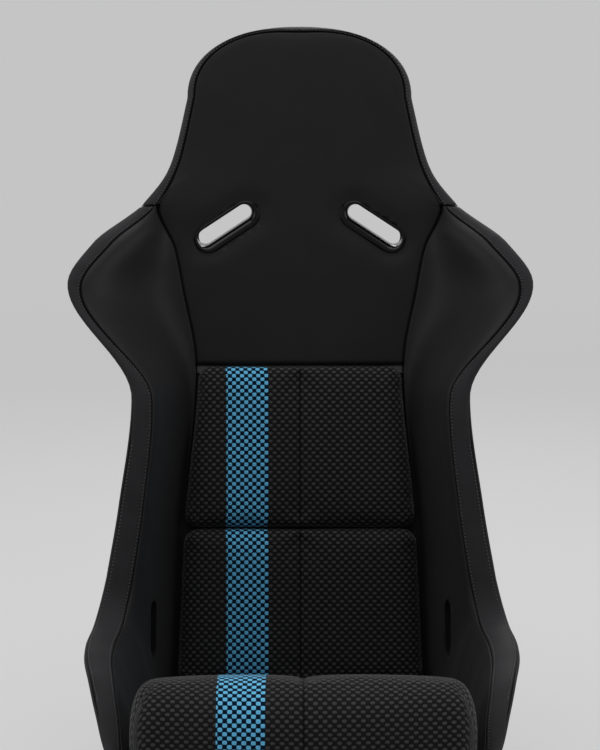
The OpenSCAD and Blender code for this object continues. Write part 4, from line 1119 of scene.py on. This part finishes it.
def checkedCloth():
    # woven upholstery in staggered checks: dull floats of thick yarn over a black ground, one blue stripe
    look = clothLook
    material, surface, node, _ = newMaterial("checkedWool", Specular_IOR_Level=0.06, Roughness=0.9,
                                             Sheen_Weight=0.12, Sheen_Roughness=0.35)
    cloth = node("Attribute", attribute_name="weave").outputs["Vector"]  # mm over the cloth
    drift = node("TexNoise", {"Vector": cloth, "Scale": 1 / look["drift"], "Detail": 2.0})
    across, along, _ = node("SeparateXYZ", [cloth]).outputs
    u = node("Math", [across, look["checkWide"]], **divided)
    v = node("Math", [drift, 0.22, node("Math", [along, look["checkHigh"]], **divided)], **timesPlus)
    whole, fromMiddle, dome, yarns = [], [], [], []
    for count in (u, v):
        whole.append(node("Math", [count], operation="FLOOR"))
        part = node("Math", [node("Math", [count], operation="FRACT"), 0.5], **minus)
        fromMiddle.append(node("Math", [part], operation="ABSOLUTE"))
        drop = node("Math", [node("Math", [part, part], **times), 3.2], **times)
        dome.append(node("Math", [1.0, drop], **minus))
        turn = node("Math", [count, 2 * math.pi * look["yarns"]], **times)
        yarns.append(node("Math", [turn], operation="SINE"))
    odd = node("Math", [node("Math", whole, **plus), 2.0], operation="FLOORED_MODULO")

    def floatOf(halfWide, halfHigh, exponent, soft):  # a rounded patch in every other check
        parts = [node("Math", [node("Math", [off, half], **divided), exponent], operation="POWER")
                 for off, half in zip(fromMiddle, (halfWide, halfHigh))]
        inside = node("MapRange", {"Value": node("Math", parts, **plus), "From Min": 1 + soft,
                                   "From Max": 1 - soft}, **eased)
        return node("Math", [inside, odd], **times)

    inStripe = node("Math", [node("Math", [across, look["stripeFrom"]], operation="GREATER_THAN"),
                             node("Math", [across, look["stripeTo"]], operation="LESS_THAN")], **times)
    plain, bright = (node("Mix", {0: floatOf(*shape), 6: tone(ground), 7: tone(yarnTone)}, **inColour)
                     for shape, ground, yarnTone in (look["plain"], look["stripe"]))
    baseColour = node("Mix", {0: inStripe, 6: plain, 7: bright}, **inColour)
    yarn = node("Mix", {0: odd, 2: yarns[0], 3: yarns[1]}, **inNumbers)
    fuzz = node("TexNoise", {"Vector": cloth, "Scale": 1 / look["fuzz"], "Detail": 3.0})
    # painted shade in the groove of the sewn line down the middle
    offMiddle = node("Math", [across], operation="ABSOLUTE")
    sewn = node("MapRange", {"Value": offMiddle, "From Min": look["sewnFrom"], "From Max": look["sewnTo"],
                             "To Min": look["sewnShade"]}, **eased)
    shade = node("Math", [node("Math", [yarn, 0.12, 0.88], **timesPlus),
                          node("Math", [fuzz, 0.5, 0.75], **timesPlus)], **times)
    shade = node("Math", [shade, sewn], **times)
    shaded = node("VectorMath", {0: baseColour, "Scale": shade}, operation="SCALE")
    raised = node("Math", [yarn, 0.12, node("Math", dome, **times)], **timesPlus)
    level = node("Math", [odd, 0.5, raised], **timesPlus)
    bump = node("Bump", {"Height": level, "Strength": 0.8, "Distance": 0.7 * mm})
    setInputs(surface, {"Base Color": shaded, "Normal": bump})
    return material


def finish(made, pattern, low, high, height, strength, depth, smooth=None, dull=None):
    # colour and roughness between two ends by one pattern, and relief by another, depth in mm
    material, surface, node, _ = made
    setInputs(surface, {
        "Base Color": node("Mix", {0: pattern, 6: tone(low), 7: tone(high)}, **inColour),
        "Normal": node("Bump", {"Height": height, "Strength": strength, "Distance": depth * mm})})
    if smooth:
        rough = node("MapRange", {"Value": pattern, "To Min": smooth, "To Max": dull})
        setInputs(surface, {"Roughness": rough})
    return material


def gelcoat():
    # glass-fibre moulding with a black gelcoat: hard gloss with the mould's faint waves
    made = _, _, node, where = newMaterial("blackGelcoat", IOR=1.5, Coat_Weight=0.5, Coat_Roughness=0.08)
    waves = node("TexNoise", {"Vector": where, "Scale": 1000 / 62.5, "Detail": 1.0})
    peel = node("TexNoise", {"Vector": where, "Scale": 1000 / 2.38, "Detail": 1.0})
    dust = node("TexNoise", {"Vector": where, "Scale": 1000 / 16.7, "Detail": 6.0})
    height = node("Math", [peel, 0.06, waves], **timesPlus)
    return finish(made, dust, "#090909", "#141416", height, 0.35, 1.6, 0.16, 0.34)


def mouldedPlastic(name, low, high, smooth, dull, grain, depth, gloss=0.5):
    # injection-moulded ABS: even colour, fine spark-eroded texture or polish, faint handling marks
    made = _, _, node, where = newMaterial(name, IOR=1.53, Specular_IOR_Level=gloss)
    spark = node("TexNoise", {"Vector": where, "Scale": 1000 / grain, "Detail": 3.0})
    marks = node("TexNoise", {"Vector": where, "Scale": 1000 / 11.1, "Detail": 4.0})
    return finish(made, marks, low, high, spark, 0.5, depth, smooth, dull)


def zincSteel():
    # turned steel, zinc plated: bright grey with faint turning rings and a cloudy plate
    made = _, _, node, where = newMaterial("zincPlatedSteel", Metallic=1.0)
    cloud = node("TexNoise", {"Vector": where, "Scale": 1000 / 4.17, "Detail": 4.0})
    rings = node("TexWave", {"Vector": where, "Scale": 1000 / 1.11, "Distortion": 1.5}).outputs["Fac"]
    return finish(made, cloud, "#8f9499", "#c3c6c9", rings, 0.2, 0.1, 0.22, 0.42)


def nylonTape(name, low, high, pitch, depth):
    # woven nylon tape with a pile of hooks or loops: matt black, speckled
    made = _, _, node, where = newMaterial(name, IOR=1.5, Roughness=0.75, Sheen_Weight=0.2,
                                           Sheen_Roughness=0.4)
    pile = node("TexVoronoi", {"Vector": where, "Scale": 1000 / pitch})
    return finish(made, pile, high, low, pile, 0.9, depth)


def birchBoard():
    # birch plywood, sanded: pale straight grain with darker flecks
    made = _, _, node, where = newMaterial("birchPlywood", IOR=1.5, Roughness=0.6)
    stretched = node("Mapping", {"Vector": where, "Scale": (1.0, 12.0, 0.12)})
    grain = node("TexNoise", {"Vector": stretched, "Scale": 1000 / 5.88, "Detail": 5.0})
    return finish(made, grain, "#8d6b44", "#c4a273", grain, 0.3, 0.2)


def linerFoam():
    # cut polyurethane foam with a black skin: open cells, no gloss
    made = _, _, node, where = newMaterial("cutFoam", IOR=1.45, Roughness=0.95)
    cells = node("TexVoronoi", {"Vector": where, "Scale": 1000 / 1.11})
    cloud = node("TexNoise", {"Vector": where, "Scale": 1000 / 33.3, "Detail": 4.0})
    return finish(made, cloud, "#121213", "#202022", cells, 0.8, 0.6)


smoothLeather = nappa("nappaLeather", **leatherLook["plain"])
# the band: the same leather painted lighter, a painted highlight where its rounded edge catches the light
litBandLeather = nappa("nappaLeatherLitBand", **leatherLook["band"])
wovenCheck = checkedCloth()
shellGelcoat = gelcoat()
# a polished mould, a spark-eroded one, and an extruded strip of satin vinyl
glossPlastic = mouldedPlastic("polishedPlastic", "#020202", "#050505", 0.14, 0.22, 6.0, 0.06, 0.16)
backPlastic = mouldedPlastic("texturedPlastic", "#0d0d0e", "#161617", 0.45, 0.6, 0.9, 0.25)
trimVinyl = mouldedPlastic("extrudedVinyl", "#101011", "#1a1a1b", 0.4, 0.52, 1.6, 0.15)
# twisted and bonded thread, stiff hooks, soft loops, and a plain woven base: each one matt
# the thread is painted lighter than it is: a painted highlight for the light its raised stitches catch
highlitThread = nylonTape("bondedThreadHighlit", "#2a2a2c", "#3e3e41", 0.5, 0.08)
hookTape = nylonTape("hookTape", "#0a0a0b", "#2a2a2c", 1.6, 0.8)
loopTape = nylonTape("loopTape", "#101012", "#262629", 1.1, 0.6)
baseNylon = nylonTape("baseCloth", "#0c0c0d", "#1b1b1d", 1.3, 0.3)
plywood = birchBoard()
foamSkin = linerFoam()
platedSteel = zincSteel()
print("materials made")


def fit(piece, body, material, nodes=()):
    piece.data.materials.clear()
    piece.data.materials.append(material)
    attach(piece, body)
    if nodes:
        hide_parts(*nodes)


fit(shellPiece, "seat", shellGelcoat, ["shell"])
fit(edgeTrim, "seat", trimVinyl, ["edge_trim"])
fit(headPanel, "seat", smoothLeather, ["head_cover", "head_foam"])
fit(headBand, "seat", litBandLeather, ["head_band"])
for side in sides:
    tag = side.lower()
    fit(innerCovers[side], "seat", smoothLeather,
        ["inner_cover_" + tag, "wing_foam_" + tag, "hip_foam_" + tag, "thigh_foam_" + tag])
    fit(sideBands[side], "seat", litBandLeather, ["side_band_" + tag])
    fit(outerCovers[side], "seat", smoothLeather, ["outer_cover_" + tag])
    fit(bezels[side], "seat", glossPlastic, ["slot_bezel_" + tag])
fit(topstitch, "seat", highlitThread)
fit(panLiner, "seat", foamSkin, ["pan_liner"])
fit(backLiner, "seat", foamSkin, ["back_liner"])
fit(upperPad, "upper_pad", wovenCheck, ["upper_pad_cover", "upper_pad_foam"])
fit(lowerPad, "lower_pad", wovenCheck, ["lower_pad_cover", "lower_pad_foam"])
fit(seatCushion, "seat_cushion", wovenCheck, ["cushion_cover", "cushion_foam"])
fit(cushionBase, "seat_cushion", baseNylon, ["cushion_base"])

keptNodes = {
    "slot_backing_left": backPlastic, "slot_backing_right": backPlastic, "backing_screws": platedSteel,
    "side_inserts": platedSteel, "upper_hook_tape": hookTape, "lower_hook_tape": hookTape,
    "seat_hook_tape": hookTape, "upper_pad_board": plywood, "lower_pad_board": plywood,
    "upper_pad_loop": loopTape, "lower_pad_loop": loopTape, "cushion_loop": loopTape,
}
for name, material in keptNodes.items():
    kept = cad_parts[name]
    for holder in kept.material_slots:
        holder.material = material
    if material != platedSteel:
        soft = kept.modifiers.new("soft edges", "BEVEL")
        soft.width, soft.segments, soft.limit_method = 0.35 * mm, 2, "ANGLE"

stage = {
    "floor": "#cccccc", "wall": "#c5c5c5", "room": 0.2,  # and the strength of the room's own light
    "size": 30.0, "fadeFrom": 1.2, "fadeTo": 6.0,  # m
    "even": 0.74,  # how much of the floor's tone is its own
}


def plainSight(tree):
    # rays that find floor and wall in their own tone: straight, mirrored or through glass
    ray = addNode(tree, "LightPath").outputs
    seen = addNode(tree, "Math", [ray["Is Camera Ray"], ray["Is Glossy Ray"]], **plus)
    return addNode(tree, "Math", [seen, ray["Is Transmission Ray"]], use_clamp=True, **plus)


def floorPiece():
    # painted floor: matt pale grey, faintly uneven, even to the eye and fading into the wall
    b = bmesh.new()
    bmesh.ops.create_grid(b, x_segments=8, y_segments=8, size=stage["size"])
    mesh = bpy.data.meshes.new("studioFloor")
    b.to_mesh(mesh)
    b.free()
    piece = objectOf("studioFloor", mesh, smooth=False)
    material, surface, node, where = newMaterial("paintedFloor", Roughness=0.7)
    cloud = node("TexNoise", {"Vector": where, "Scale": 1.2, "Detail": 3.0})
    setInputs(surface, {"Base Color": node("Mix", {0: cloud, 6: tone("#d2d2d2"), 7: tone("#d8d8d8")},
                                           **inColour)})
    far = node("MapRange", {"Value": node("VectorMath", [where], operation="LENGTH"),
                            "From Min": stage["fadeFrom"], "From Max": stage["fadeTo"]}, **eased)
    ownTone = node("Mix", {0: far, 6: tone(stage["floor"]), 7: tone(stage["wall"])}, **inColour)
    # the rest of its tone takes light and shadow
    evened = node("MapRange", {"Value": far, "To Min": stage["even"]})
    share = node("Math", [plainSight(material.node_tree), evened], **times)
    both = node("MixShader", [share, surface, node("Emission", {"Color": ownTone, "Strength": 1.0})])
    setInputs(material.node_tree.nodes["Material Output"], [both])
    mesh.materials.append(material)


floorPiece()
world = bpy.data.worlds.new("studio")
bpy.context.scene.world = world
world.use_nodes = True
world.node_tree.nodes.clear()
node = partial(addNode, world.node_tree)
shades = [node("Background", {"Color": tone(colour), "Strength": strength})
          for colour, strength in (("#ffffff", stage["room"]), (stage["wall"], 1.0))]
node("OutputWorld", [node("MixShader", [plainSight(world.node_tree)] + shades)])

lamps = [  # name, place, aimed at, size, watts
    ("topSoftbox", (-0.2, -0.4, 3.0), (0, 0.1, 0.5), 3.2, 64),
    ("leftSoftbox", (-2.8, -0.3, 1.3), (0, 0.1, 0.6), 2.4, 31),
    ("rightSoftbox", (2.8, -0.3, 1.3), (0, 0.1, 0.6), 2.4, 35),
    ("backSoftbox", (0.4, 2.4, 2.2), (0, 0.2, 0.6), 1.6, 30),
]
for name, spot, aim, size, watts in lamps:
    light = bpy.data.lights.new(name, "AREA")
    light.shape, light.size, light.energy = "DISK", size, watts
    lamp = bpy.data.objects.new(name, light)
    lamp.location = spot
    lamp.rotation_euler = (Vector(aim) - Vector(spot)).to_track_quat("-Z", "Y").to_euler()
    bpy.context.scene.collection.objects.link(lamp)

view = {"target": (0, 0.225, 0.462), "drop": 8.0, "distance": 2.9, "sideways": -0.022, "lens": 111.4}
camera = bpy.data.objects.new("camera", bpy.data.cameras.new("camera"))
bpy.context.scene.collection.objects.link(camera)
bpy.context.scene.camera = camera
down = math.radians(view["drop"])
target = Vector(view["target"])
camera.location = target + Vector((view["sideways"], -math.cos(down) * view["distance"],
                                   math.sin(down) * view["distance"]))
camera.rotation_euler = (target - camera.location).to_track_quat("-Z", "Y").to_euler()
camera.data.lens, camera.data.sensor_width = view["lens"], 36
camera.data.clip_start, camera.data.clip_end = 0.05, 60
bpy.context.scene.view_settings.view_transform = "Standard"
